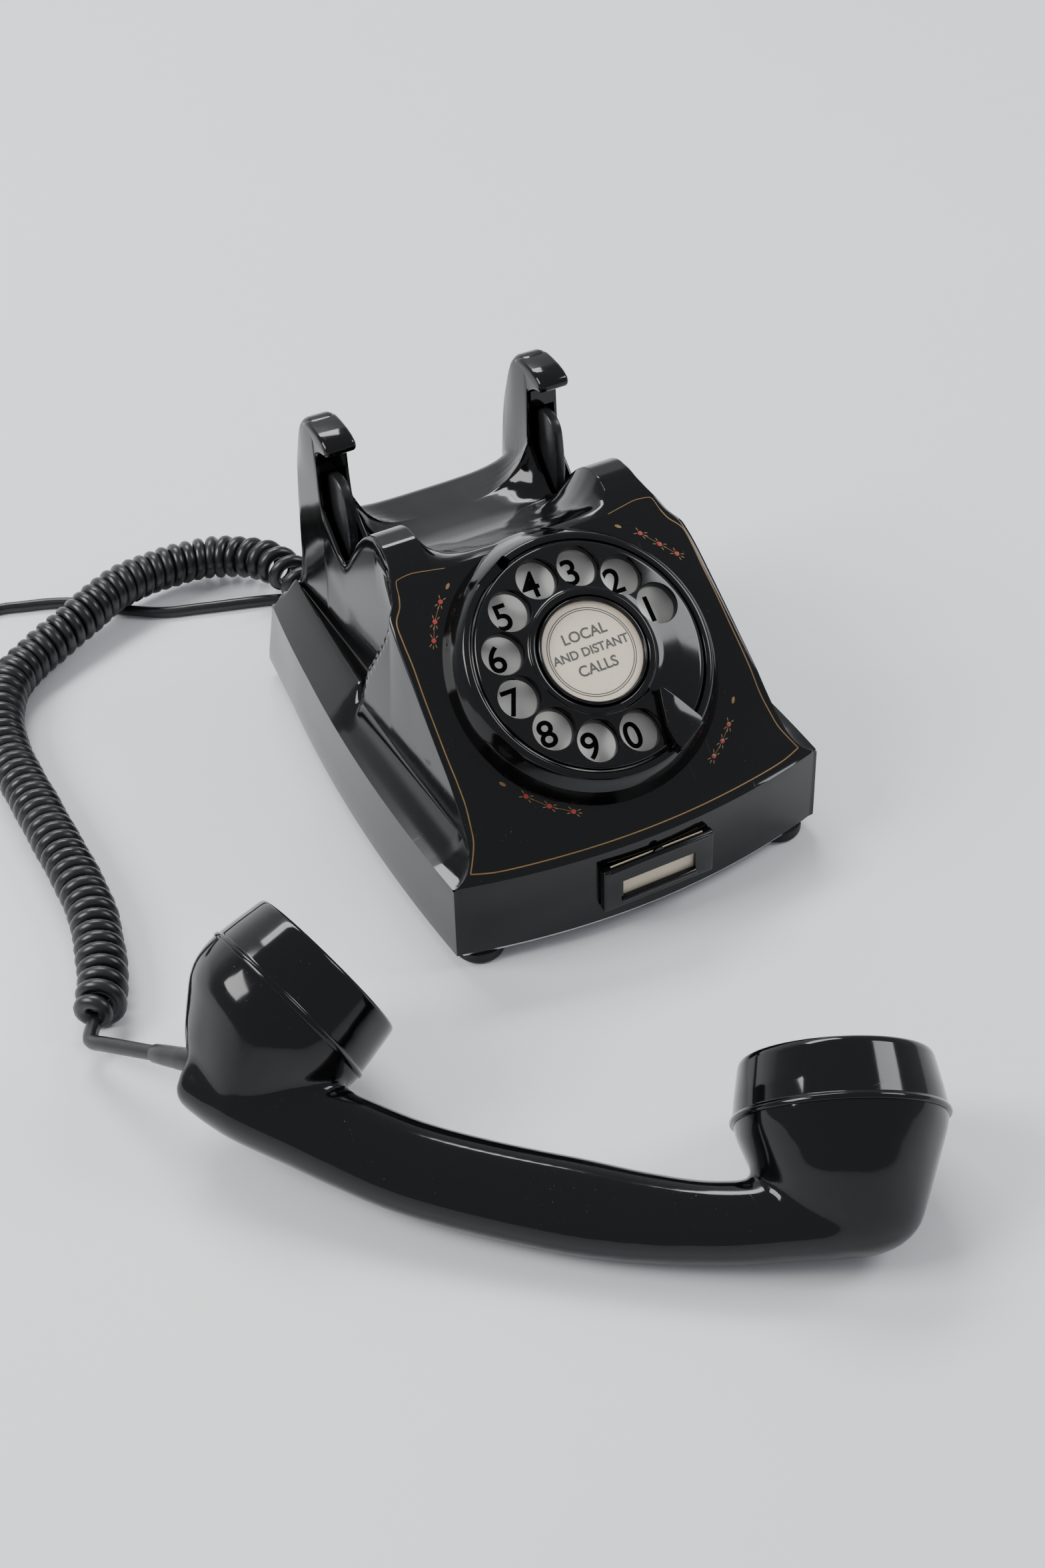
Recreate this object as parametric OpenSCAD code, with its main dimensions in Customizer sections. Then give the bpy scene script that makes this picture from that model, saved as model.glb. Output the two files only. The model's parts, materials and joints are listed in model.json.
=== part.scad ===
// Rotary-dial telephone with a fixed two-horn cradle and a separate handset on a curly cord.
// Millimetres, +Z up, z = 0 is the surface it stands on, x = 0 is its plane of symmetry,
// the dial faces -Y and up.

/* [Body] */
// Skirt half width at its widest
skirt_half = 69; // [66:0.5:72]
// Underside of the skirt above the table
skirt_z = 5.8; // [5:0.1:8]
// Top edge of the vertical skirt band
skirt_top = 34.7; // [30:0.1:40]
// Moulding wall thickness
wall = 3.2; // [2.5:0.1:4]

/* [Dial] */
// Dial centre, y
dial_y = -50.3; // [-54:0.1:-46]
// Dial centre, z, top face of the finger wheel
dial_z = 80.5; // [76:0.1:84]
// Dial face slope from level, degrees
dial_tilt = 37.1; // [30:0.1:45]
// Finger wheel radius
wheel_r = 38.1; // [36:0.1:40]
// Finger hole radius
hole_r = 6.8; // [6:0.1:7.5]
// Radius of the circle of finger holes
hole_pcd_r = 29.1; // [27:0.1:31]
// Angle of hole 1 from +X, seen from the front
hole_start = 16.2; // [10:0.1:22]
// Angle between neighbouring holes
hole_step = 29.2; // [27:0.1:30]

/* [Cradle] */
// Distance of each horn centre from the middle plane
horn_x = 40; // [36:0.1:44]
// Horn width
horn_w = 11.4; // [10:0.1:14]
// Height of the horn tops
horn_top = 121.5; // [110:0.5:130]
// Cradle lever thickness
lever_t = 3.8; // [3:0.1:6]
// Lever shaft, y
pivot_y = 50; // [46:0.1:54]
// Lever shaft, z
pivot_z = 62; // [58:0.1:66]

/* [Handset] */
// Handset position, x
hs_x = -54.8; // [-120:0.1:20]
// Handset position, y
hs_y = -203.3; // [-260:0.1:-150]
// Height of the handset middle above the table
hs_z = 17; // [14:0.1:30]
// Handset turn about the vertical, degrees
hs_turn = -30.9; // [-90:0.1:90]
// Handset roll onto the back of its handle, degrees
hs_roll = 28.8; // [0:0.1:60]
// Handset pitch, degrees
hs_pitch = -3.2; // [-10:0.1:10]

/* [Cords] */
// Outer diameter of the curled handset cord
curl_od = 17; // [14:0.5:20]
// Wire diameter of the handset cord
curl_wire = 5.2; // [4:0.1:6]
// Line cord diameter
line_d = 4.2; // [3.5:0.1:6]

/* [Hidden] */
$fn = 48;
eps = 0.01;
bake = "#17181a";
steel = "#9a9da0";
brass = "#b39a5a";
lever_x = horn_x;

// ---- plan outline of the skirt ----
function bow(s) = s < -60 ? 0.0021 * (-60 - s) / 31 : 0;
function side_x(y) = skirt_half + 0.1 - 0.00072 * pow(y + 38, 2);
function side_x_top(y) = side_x(y) - lookup(y, [[-82, 0.4], [-40, 0.9], [40, 1.6], [86, 1.2]]);
function front_y(x) = -91 + 0.0021 * x * x;

front_half = 66.2;
corner_y = front_y(front_half);

function outline(d) = concat(
  [for (k = [-6:6]) let (x = (front_half - d) * k / 6) [x, front_y(x) + d]],
  [for (y = [corner_y + 16:20:82]) [side_x(y) - d, y]],
  [[side_x(94) - d, 93.5 - d], [-side_x(94) + d, 93.5 - d]],
  [for (k = [0:8]) let (y = 78 - 20 * k) if (y > corner_y + 4) [-side_x(y) + d, y]]);

// ---- upper surface, half sections at stations from front to rear ----
stations = [-91, -88, -84, -80, -75, -68, -60, -52, -44, -36, -28, -22, -17.5, -14, -11, -8.5,
  -6, -3, 0, 3, 6, 9.5, 13, 17, 21, 25, 29, 33, 36, 39, 43, 47, 51, 54, 55.5, 58, 61, 64,
  66, 68, 70, 72, 74, 75.5, 77, 79.5, 83, 86];

function edge_x(s) = lookup(s, [[-91, 66.2], [-88, 62.5], [-84, 59.7], [-80, 58.4], [-75, 57.6],
  [-68, 57], [-60, 56.6], [-36, 55.4], [-17.5, 54], [-12.5, 50.8], [-7, 48.7], [0, 47.2],
  [9, 46.2], [20, 45.8], [90, 45.7]]);
function edge_z(s) = lookup(s, [[-91, skirt_top], [-88, 37], [-84, 40.3], [-80, 43.4],
  [-75, 47.2], [-68, 52.6], [-60, 59], [-52, 65.5], [-22, 89.6], [-17.5, 92.6], [-12.5, 96],
  [-7, 99.7], [0, 103], [5, 104.4], [9.5, 104.4], [14, 103], [18, 100.3], [22, 96.5],
  [26, 92], [30, 86.5], [34, 81], [37, 78], [39, 77.2], [42, 78.5], [47, 83], [51, 87],
  [54, 92], [55.5, horn_top - 2.5], [58, horn_top - 0.4], [61, horn_top],
  [64, horn_top - 0.8], [66, horn_top - 2.6], [68, 115], [70, 109.5], [72, 102], [74, 91],
  [75.5, 79], [77, 65], [79.5, 52.5], [83, 43], [86, skirt_top]]);
function base_z(s) = s < 54 ? edge_z(s) : lookup(s, [[54, 92], [55.5, 89], [58, 85.5], [61, 83],
  [64, 81.5], [68, 80], [70, 79], [72, 77.5], [74, 73.5], [75.5, 68], [77, 60], [79.5, 51.5],
  [83, 43], [86, skirt_top]]);
function mid_z(s) = s < -9 ? edge_z(s) : lookup(s, [[-9, 98.4], [-6, 98.6], [-3, 97.2],
    [0, 95.2], [6, 91.2], [13, 86.8], [21, 82.2], [29, 78.6], [36, 76.4], [43, 75.2],
    [54, 74.6], [64, 75], [68, 75.2], [70, 74.8], [72, 73.2],
    [74, 69.6], [75.5, 65], [77, 58.5], [79.5, 51], [83, 43], [86, skirt_top]]);

function smooth(t) = let (u = min(1, max(0, t))) u * u * (3 - 2 * u);
function mix(a, b, t) = a + (b - a) * t;
function recess(s) = smooth((s + 10) / 16);
function ledge(s) = smooth((s - 6) / 9);

function low_x(s) = mix(min(edge_x(s) + 1.4, 57.4 + max(0, edge_x(s) - 57)), 47.2, smooth((s + 3) / 12));
function low_z(s) = s < -75 ? lookup(s, [[-91, skirt_top], [-88, 35.6], [-84, 37.4], [-80, 39],
  [-75, 40]]) : mix(40, 43.5, ledge(s));
function ridge_x(s) = mix(mix(low_x(s), side_x_top(s), 0.25),
  lookup(s, [[10, 54], [30, 52.5], [86, 47.5]]), ledge(s));
function ridge_z(s) = s < -75 ? mix(low_z(s), skirt_top, 0.35) : mix(37.4, 46, ledge(s));

function tail(s, z) = s < 77 ? z : min(z, lookup(s, [[77, 60], [79.5, 51], [83, 43], [86, skirt_top]]));

function row_y(s, x) = s + bow(s) * x * x;

front_x = [66.2, 65.9, 65.4, 64.6, 63.4, 61.6, 56, 46, 37, 33, 28, 22, 15, 7.5];

function half_pts(s) = s <= -91 ? [for (x = front_x) [x, skirt_top]] : let (
    e = edge_x(s),
    ez = edge_z(s),
    b = base_z(s),
    m = mid_z(s),
    xo = side_x_top(s < -60 ? s + bow(s) * 4380 : s),
    face = s < -9,
    cap = s >= 55 && s < 72 ? 1.6 : 0,
    hx = horn_x + horn_w / 2,
    hi = horn_x - horn_w / 2) [
  [xo, skirt_top],
  [mix(xo, ridge_x(s), 0.5), tail(s, mix(skirt_top, ridge_z(s), mix(0.32, 0.5, ledge(s))))],
  [ridge_x(s), tail(s, ridge_z(s))],
  [low_x(s), tail(s, low_z(s))],
  [mix(mix(low_x(s), e, 0.5), 46.2, recess(s)), tail(s, min(mix(low_z(s), ez, 0.5), 64))],
  [mix(e, hx, recess(s)), ez - cap],
  [mix(mix(e, hx, recess(s)), hi, 0.16), ez],
  [mix(mix(e, hx, recess(s)), hi, 0.84), ez],
  [hi, ez - cap],
  [hi - 0.6, b],
  [30, mix(m, b, face ? 1 : 0.55)],
  [25, mix(m, b, face ? 1 : 0.24)],
  [19, mix(m, b, face ? 1 : 0.07)],
  [9.5, m]];

hn = len(half_pts(0));
row_n = 2 * hn + 1;

function row(s) = let (h = half_pts(s)) concat(
  [for (p = h) [-p[0], row_y(s, p[0]), p[1]]],
  [[0, s, mid_z(s)]],
  [for (k = [hn - 1:-1:0]) [h[k][0], row_y(s, h[k][0]), h[k][1]]]);

module shell_solid() {
  n = len(stations);
  m = row_n;
  rows = [for (s = stations) row(s)];
  foot_left = [for (i = [0:n - 1]) let (p = rows[i][0]) [-(i == n - 1 ? side_x(94) : side_x(p[1])
    - (i == 0 ? 1.4 : 0)), i == n - 1 ? 93.5 : p[1], skirt_z]];
  foot_right = [for (p = foot_left) [-p[0], p[1], p[2]]];
  front = [for (j = [1:m - 2]) let (x = rows[0][j][0]) [x, front_y(x), skirt_z]];
  rear = [for (j = [1:m - 2]) let (x = rows[n - 1][j][0]) [x * side_x(94) / side_x_top(86), 93.5, skirt_z]];
  all_rows = [for (r = rows) for (p = r) p];
  pts = concat(all_rows, foot_left, foot_right, front, rear);
  fl = n * m;
  fr = fl + n;
  ff = fr + n;
  fb = ff + m - 2;
  function g(i, j) = i * m + j;
  function fi(j) = j == 0 ? fl : j == m - 1 ? fr : ff + j - 1;
  function bi(j) = j == 0 ? fl + n - 1 : j == m - 1 ? fr + n - 1 : fb + j - 1;
  top = [for (i = [0:n - 2]) for (j = [0:m - 2]) each [[g(i, j), g(i + 1, j), g(i, j + 1)],
    [g(i + 1, j), g(i + 1, j + 1), g(i, j + 1)]]];
  left = [for (i = [0:n - 2]) each [[g(i, 0), fl + i, g(i + 1, 0)], [fl + i, fl + i + 1, g(i + 1, 0)]]];
  right = [for (i = [0:n - 2]) each [[g(i, m - 1), g(i + 1, m - 1), fr + i],
    [fr + i, g(i + 1, m - 1), fr + i + 1]]];
  fwall = [for (j = [0:m - 2]) each [[g(0, j), g(0, j + 1), fi(j)], [fi(j), g(0, j + 1), fi(j + 1)]]];
  bwall = [for (j = [0:m - 2]) each [[g(n - 1, j), bi(j), g(n - 1, j + 1)],
    [bi(j), bi(j + 1), g(n - 1, j + 1)]]];
  floor_face = concat([for (j = [0:m - 1]) fi(j)], [for (i = [1:n - 1]) fr + i],
    [for (j = [m - 2:-1:1]) bi(j)], [for (i = [n - 1:-1:1]) fl + i]);
  polyhedron(pts, concat(top, left, right, fwall, bwall, [floor_face]), convexity = 8);
}

// hollow under the moulding: a plain stepped cavity
module cavity() {
  intersection() {
    translate([0, 0, -1]) linear_extrude(33.4) polygon(outline(wall));
    rotate([90, 0, 90]) translate([0, 0, -80]) linear_extrude(160)
      polygon([[-95, -2], [92.4, -2], [82.8, 33], [-95, 33]]);
  }
  rotate([90, 0, 90]) translate([0, 0, -42]) linear_extrude(84)
    polygon([[-83, 30], [-77, 40], [-60, 54.6], [-30, 79], [-14, 91], [-8, 92.6], [-1, 91.5],
      [6, 87], [21, 78], [36, 72], [64, 71], [69, 70], [72, 66], [75, 55], [80, 40], [84, 30]]);
  rotate([90, 0, 90]) translate([0, 0, -52]) linear_extrude(104)
    polygon([[-77, 31], [-70, 45], [-60, 54], [-30, 78.6], [-20, 86], [-14, 60], [-8, 31]]);
}

module dialf() {
  translate([0, dial_y, dial_z]) rotate([dial_tilt, 0, 0]) children();
}

module hsf() {
  translate([hs_x, hs_y, hs_z]) rotate([hs_roll, hs_pitch, hs_turn]) children();
}

module both_sides() {
  children();
  mirror([1, 0, 0]) children();
}

// hooked tip that overhangs each horn
module hook_tip() {
  rotate([90, 0, 90]) translate([0, 0, horn_x - horn_w / 2]) linear_extrude(horn_w)
    polygon([[60, 121], [56, 121.2], [51, 120.9], [47.4, 120], [45, 118.6], [44.3, 117],
      [44.6, 115.6], [45.6, 114.8], [48.5, 114.2], [51, 113.2], [53.4, 111.6], [56, 108],
      [60, 108]]);
}

module housing() {
  color(bake) difference() {
    union() {
      shell_solid();
      both_sides() hook_tip();
      dialf() translate([0, 0, -14]) rotate_extrude($fn = 96)
        polygon([[30, 0], [46.5, 0], [45.6, 4.6], [44.2, 8], [42.8, 10.6], [41.8, 12.2],
          [41, 13], [38.6, 13], [38.6, 8], [30, 8]]);
    }
    difference() {
      cavity();
      dialf() translate([0, 0, -14]) cylinder(h = 8, r = 44, $fn = 96);
      translate([0, -84, skirt_z - 2]) cylinder(h = 16, r = 5.5);
    }
    dialf() translate([0, 0, -60]) cylinder(h = 51, r = 33.5, $fn = 96);
    dialf() translate([0, 0, -9]) cylinder(h = 30, r = wheel_r + 0.5, $fn = 96);
    // two opposite seats for the finger stop in the collar
    dialf() for (a = [-62, 118]) rotate([0, 0, a]) translate([34, -6.6, -5.6]) cube([7, 13.2, 8]);
    // lever slots in the horns, open to the front and down into the body
    both_sides() translate([horn_x - 4.7, 0, 0]) rotate([90, 0, 90]) linear_extrude(9.4)
      polygon([[50, 112.6], [62, 112.6], [65.5, 104], [66.5, 92], [64, 80], [62.5, 66],
        [61, 54], [40.5, 54], [39.4, 82], [50, 88]]);
    // hole for the housing screw
    translate([0, -84, skirt_z - 3]) cylinder(h = 12, r = 2);
    // cord exits at the rear
    translate([-30, 80, 13]) rotate([-90, 0, 0]) cylinder(h = 20, r = 5);
    translate([-8, 80, 10.5]) rotate([-90, 0, 0]) cylinder(h = 20, r = 4);
    // flat seat and stud holes for the card holder
    translate([-20.5, -92, 12]) cube([41, 1.7, 17.4]);
    for (x = [-16.5, 16.5]) translate([x, -95, 20]) rotate([-90, 0, 0]) cylinder(h = 10, r = 1);
  }
}

module hook_insert() {
  color(bake) translate([horn_x - 4.7, 0, 0]) rotate([90, 0, 90]) linear_extrude(9.4)
    polygon([[53.6, 104.8], [64.9, 104.8], [62, 112.6], [53.6, 112.6]]);
}
module hook_insert_right() { hook_insert(); }
module hook_insert_left() { mirror([1, 0, 0]) hook_insert(); }

module base_plate() {
  color(steel) difference() {
    translate([0, 0, 4.3]) linear_extrude(1.5) polygon(outline(1.2));
    for (x = [-57, 57]) translate([x, -76, 0]) cylinder(h = 10, r = 3);
    for (x = [-46, 46]) translate([x, 80, 0]) cylinder(h = 10, r = 3);
    translate([0, -84, 0]) cylinder(h = 10, r = 2.2);
    // key holes for hanging it on a wall
    for (x = [-42, 42]) translate([x, 62, 0]) {
      cylinder(h = 10, r = 5);
      translate([-2.25, -12, 0]) cube([4.5, 12, 10]);
      translate([0, -12, 0]) cylinder(h = 10, r = 2.25);
    }
  }
}

module foot() {
  color("#1d1d1d") difference() {
    union() {
      cylinder(h = 1, r1 = 7.6, r2 = 8.3);
      translate([0, 0, 1]) cylinder(h = 3.3, r = 8.3);
      cylinder(h = 5.8, r = 3);
      translate([0, 0, 5.8]) cylinder(h = 2, r1 = 4.2, r2 = 3.2);
    }
    translate([0, 0, -1]) cylinder(h = 3, r = 2.2);
  }
}
module foot_front_left() { translate([-57, -76, 0]) foot(); }
module foot_front_right() { translate([57, -76, 0]) foot(); }
module foot_rear_left() { translate([-46, 80, 0]) foot(); }
module foot_rear_right() { translate([46, 80, 0]) foot(); }

module housing_screw() {
  color("#2a2a2a") translate([0, -84, 0]) difference() {
    union() {
      translate([0, 0, 1.6]) cylinder(h = 2.7, r1 = 3.6, r2 = 4.2);
      translate([0, 0, 4.2]) cylinder(h = 8, r = 1.95);
    }
    translate([-6, -0.6, 0]) cube([12, 1.2, 2.6]);
  }
}

module card_frame() {
  color(bake) difference() {
    union() {
      translate([-20.3, -93.6, 12.2]) cube([40.6, 3.3, 17]);
      translate([-14, -94.6, 14.2]) cube([28, 1.4, 1.8]);
      for (x = [-16.5, 16.5]) translate([x, -90.4, 20]) rotate([-90, 0, 0]) cylinder(h = 4, r = 0.98);
    }
    translate([-13.5, -97, 16]) cube([27, 8, 7]);
    translate([-17.5, -92.5, 13.4]) cube([35, 1.4, 20]);
    translate([0, -95, 29.2]) rotate([-90, 0, 0]) cylinder(h = 3, r = 4);
  }
}
module card() {
  color("#e6dcc0") translate([-17, -91.7, 13.5]) cube([34, 0.4, 16.4]);
}
module card_window() {
  color("#d8d8d0") translate([-17.2, -92.5, 13.4]) cube([34.4, 0.6, 14.4]);
}

// ---- dial ----
module dial_plate() {
  color(steel) dialf() translate([0, 0, -9]) difference() {
    cylinder(h = 1, r = 38.3, $fn = 96);
    translate([0, 0, -1]) cylinder(h = 3, r = 3.1);
    for (a = [45, 135, 225, 315]) rotate([0, 0, a]) translate([35.4, 0, -1])
      cylinder(h = 3, r = 1.5);
  }
}
module dial_case() {
  color(steel) dialf() difference() {
    translate([0, 0, -30]) cylinder(h = 21, r = 33, $fn = 96);
    translate([0, 0, -28.8]) cylinder(h = 21, r = 31.8, $fn = 96);
    translate([0, 0, -31]) cylinder(h = 3, r = 2.56);
    translate([-9, 14, -31]) cube([18, 10, 3]);
  }
}
module number_plate() {
  color("#ece9df") dialf() translate([0, 0, -8]) difference() {
    cylinder(h = 0.8, r = 37.8, $fn = 96);
    translate([0, 0, -1]) cylinder(h = 3, r = 6);
  }
}
module finger_wheel() {
  color(bake) dialf() difference() {
    translate([0, 0, -3.6]) rotate_extrude($fn = 96)
      polygon([[4.2, 0.6], [12, 0.2], [37.2, 0], [37.9, 0.5], [38.1, 1.4], [38.1, 2.4],
        [37.6, 3.2], [36.6, 3.6], [30, 4.1], [23.6, 4.5], [21.6, 4.9], [20.9, 5.4],
        [20.6, 6], [19.2, 6], [18.4, 5.4], [18.2, 3.8], [4.2, 3.8]]);
    for (k = [0:9]) rotate([0, 0, hole_start + hole_step * k]) translate([hole_pcd_r, 0, -8])
      cylinder(h = 20, r = hole_r);
  }
}
module label_card() {
  color("#e9dcc0") dialf() translate([0, 0, 0.2]) difference() {
    cylinder(h = 0.4, r = 17.6);
    translate([0, 0, -1]) cylinder(h = 2, r = 0.8);
  }
}
module label_window() {
  color("#f0f0e8") dialf() translate([0, 0, 0.6]) cylinder(h = 0.8, r = 17.6);
}
module label_ring() {
  color(bake) dialf() translate([0, 0, 0.2]) rotate_extrude($fn = 96)
    polygon([[17.65, 0], [18.15, 0], [18.15, 1.9], [17.8, 2.5], [17.2, 2.6], [16.8, 2],
      [16.8, 1.25], [17.65, 1.25]]);
}
module dial_shaft() {
  color(steel) dialf() union() {
    translate([0, 0, -30.4]) cylinder(h = 27, r = 2.5);
    translate([0, 0, -3.6]) cylinder(h = 3.8, r = 4.15);
  }
}
module finger_stop() {
  color(bake) dialf() rotate([0, 0, -62]) difference() {
    union() {
      translate([0, 0, 1.4]) linear_extrude(2.6)
        polygon([[23.6, 4.4], [24.4, 5.4], [39.6, 6.2], [40.6, 5.2], [40.6, -6.4], [38.5, -6.4],
          [33, -3.6], [28, 0.4]]);
      translate([38.75, -6.4, -5.6]) cube([1.9, 12.4, 8.1]);
    }
    translate([39.6, 0, -4]) rotate([0, 90, 0]) cylinder(h = 6, r = 0.8, center = true);
  }
}
module spring_barrel() {
  color(brass) dialf() translate([0, 0, -12.2]) difference() {
    cylinder(h = 3.2, r = 14);
    translate([0, 0, -1]) cylinder(h = 6, r = 3.2);
    for (r = [5:2:11]) translate([0, 0, 0.8]) difference() {
      cylinder(h = 4, r = r + 0.8);
      translate([0, 0, -1]) cylinder(h = 6, r = r);
    }
  }
}
function gear_pts(n, r, d) = [for (k = [0:n - 1]) for (q = [0:3])
  let (a = 360 / n * (k + q / 4), rr = q < 2 ? r : r - d) [rr * cos(a), rr * sin(a)]];
module main_gear() {
  color(brass) dialf() translate([0, 0, -17]) difference() {
    rotate([0, 0, -2.6]) linear_extrude(1.6) polygon(gear_pts(40, 17.1, 1.2));
    translate([0, 0, -1]) cylinder(h = 4, r = 2.5);
    for (a = [30:60:330]) rotate([0, 0, a]) translate([10, 0, -1]) cylinder(h = 4, r = 3);
  }
}
pulse_x = -19.4;
pulse_y = -11.2;
module pulse_wheel() {
  color(brass) dialf() translate([pulse_x, pulse_y, 0]) union() {
    translate([0, 0, -28.6]) cylinder(h = 19.4, r = 1.2);
    translate([0, 0, -17]) rotate([0, 0, -10.5]) linear_extrude(1.6) polygon(gear_pts(10, 5.2, 1.4));
    translate([0, 0, -23.1]) linear_extrude(1.2) polygon(gear_pts(20, 7, 1));
    translate([0, 0, -20]) cylinder(h = 1, r = 4.5);
  }
}
module governor() {
  color(brass) dialf() translate([0, -20.5, -22.5]) rotate([0, 90, 0]) translate([0, 0, -22]) union() {
    cylinder(h = 24, r = 1);
    translate([0, 0, 2]) cylinder(h = 7, r = 1.9);
    translate([0, 0, 14]) cylinder(h = 2, r = 2.4);
    for (a = [0, 180]) rotate([0, 0, a]) translate([1, -1.2, 17]) cube([2.6, 2.4, 4]);
  }
}
module governor_cup() {
  color(steel) dialf() translate([-7.4, -20.5, -22.5]) rotate([0, 90, 0]) difference() {
    union() {
      cylinder(h = 8.6, r = 4.8);
      translate([2, -2, 2]) cube([4.3, 4, 6.6]);
    }
    translate([0, 0, -1]) cylinder(h = 8.8, r = 4.1);
    translate([0, 0, 5]) cylinder(h = 8, r = 1.05);
  }
}
module pulse_contacts() {
  color(brass) dialf() union() {
    translate([-29, 2, -24]) cube([6, 8, 15]);
    translate([-27.8, -12, -20.6]) cube([0.4, 15, 3]);
    translate([-25.4, -8, -20.6]) cube([0.4, 11, 3]);
  }
}

// ---- cradle levers and switch ----
module lever() {
  difference() {
    translate([lever_x - lever_t / 2, 0, 0]) rotate([90, 0, 90]) linear_extrude(lever_t)
      polygon([[51.5, 104], [48.6, 103.9], [46, 103], [44, 101.4], [42.8, 99], [42.1, 95],
        [41.5, 90], [41.2, 85], [41.6, 79], [42.8, 72], [44.6, 66], [45, 57], [55, 57],
        [56.6, 66], [57.4, 80], [57.6, 97], [55.4, 103]]);
    translate([lever_x, pivot_y, pivot_z]) rotate([0, 90, 0]) cylinder(h = 20, r = 2.5, center = true);
  }
}
module cradle_lever_right() { color("#222325") lever(); }
module cradle_lever_left() { color("#222325") mirror([1, 0, 0]) lever(); }
module cradle_shaft() {
  color(steel) translate([0, pivot_y, pivot_z]) rotate([0, 90, 0])
    cylinder(h = 2 * (lever_x + lever_t / 2), r = 2.5, center = true);
}
module hook_arm() {
  color(steel) translate([-11, 0, 0]) rotate([90, 0, 90]) linear_extrude(2) difference() {
    polygon([[45, 66], [54, 66], [55, 58], [50, 55], [40, 54], [24, 47], [23, 49.5], [40, 58]]);
    translate([pivot_y, pivot_z]) circle(r = 2.5);
  }
}
module cradle_bracket() {
  color(steel) difference() {
    union() {
      translate([-35.5, 42, skirt_z]) cube([71, 16, 1.5]);
      for (x = [-35.5, 33.5]) translate([x, 42, skirt_z]) cube([2, 16, 61]);
    }
    translate([0, pivot_y, pivot_z]) rotate([0, 90, 0]) cylinder(h = 80, r = 2.56, center = true);
  }
}
module switch_pile() {
  color("#8a6a3a") union() {
    translate([-16, 8, skirt_z]) cube([12, 14, 1.5]);
    translate([-16, 8, skirt_z]) cube([12, 2, 36]);
    for (k = [0:3]) translate([-15, 8, 28 + 4 * k]) cube([10, 9, 2.6]);
    for (k = [0:2]) translate([-12, 8, 30.6 + 4 * k]) cube([4, 20, 0.5]);
    translate([-15, 10, 28]) cube([10, 5, 13]);
  }
}

// ---- ringer ----
module ringer_frame() {
  color(steel) union() {
    translate([-24, 22, skirt_z]) cube([48, 14, 2]);
    translate([-24, 22, skirt_z]) cube([2, 14, 26]);
    translate([22, 22, skirt_z]) cube([2, 14, 26]);
    translate([-3, 34, skirt_z]) cube([6, 2, 14]);
    for (x = [-19, 19]) translate([x, 66, skirt_z]) cylinder(h = 23.4, r = 2.5);
    for (x = [-19, 19]) translate([x - 4, 34, skirt_z + 1.5]) cube([8, 32, 1.4]);
  }
}
module ringer_coil() {
  color("#6b2c1c") translate([0, 29, 20]) rotate([0, 90, 0]) difference() {
    union() {
      cylinder(h = 17, r = 7);
      cylinder(h = 1.2, r = 8.4);
      translate([0, 0, 15.8]) cylinder(h = 1.2, r = 8.4);
    }
    translate([0, 0, -1]) cylinder(h = 20, r = 2);
  }
}
module ringer_coil_right() { translate([4.9, 0, 0]) ringer_coil(); }
module ringer_coil_left() { translate([-21.9, 0, 0]) ringer_coil(); }
module gong() {
  color(brass) translate([19, 66, 26]) rotate_extrude($fn = 64)
    polygon([[2.5, 3.2], [2.5, 0.6], [9, -1], [11.6, -4.4], [12.5, -9.6], [13.5, -9.6],
      [12.6, -4], [9.8, 0.4], [5.6, 1.8], [4.8, 3.2]]);
}
module gong_right() { gong(); }
module gong_left() { mirror([1, 0, 0]) gong(); }
module clapper() {
  color(steel) union() {
    translate([0, 38.6, 9]) cylinder(h = 12, r = 2);
    translate([-0.8, 38.6, 18]) cube([1.6, 24, 2]);
    translate([0, 62, 19]) sphere(r = 3.2);
    translate([-8, 37.8, 13]) cube([16, 2, 3]);
  }
}

// ---- network ----
module induction_coil() {
  color("#4a4540") translate([-36, -58, skirt_z]) union() {
    translate([0, 0, 0]) cube([26, 16, 1.5]);
    translate([3, 2, 1.5]) cube([20, 12, 18]);
    translate([0, 5, 1.5]) cube([26, 6, 14]);
  }
}
module capacitor() {
  color("#b9bcc0") translate([14, -60, skirt_z]) union() {
    cube([24, 20, 22]);
    translate([5, 8, 22]) cube([2, 4, 4]);
    translate([17, 8, 22]) cube([2, 4, 4]);
  }
}
module terminal_strip() {
  color("#3c2a1c") union() {
    translate([-44, -24, skirt_z]) cube([14, 34, 8]);
    for (y = [-19:8:8]) translate([-37, y, skirt_z + 8]) cylinder(h = 2, r = 2.6);
  }
}

// ---- cords ----
function cross3(a, b) = [a[1] * b[2] - a[2] * b[1], a[2] * b[0] - a[0] * b[2],
  a[0] * b[1] - a[1] * b[0]];
function unit3(v) = v / norm(v);
function crm(p0, p1, p2, p3, t) = 0.5 * (2 * p1 + (p2 - p0) * t + (2 * p0 - 5 * p1 + 4 * p2 - p3)
  * t * t + (3 * p1 - p0 - 3 * p2 + p3) * t * t * t);
function curve(pts, n) = let (m = len(pts)) concat([for (i = [0:m - 2]) for (k = [0:n - 1])
  crm(pts[max(0, i - 1)], pts[i], pts[i + 1], pts[min(m - 1, i + 2)], k / n)], [pts[m - 1]]);

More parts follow.
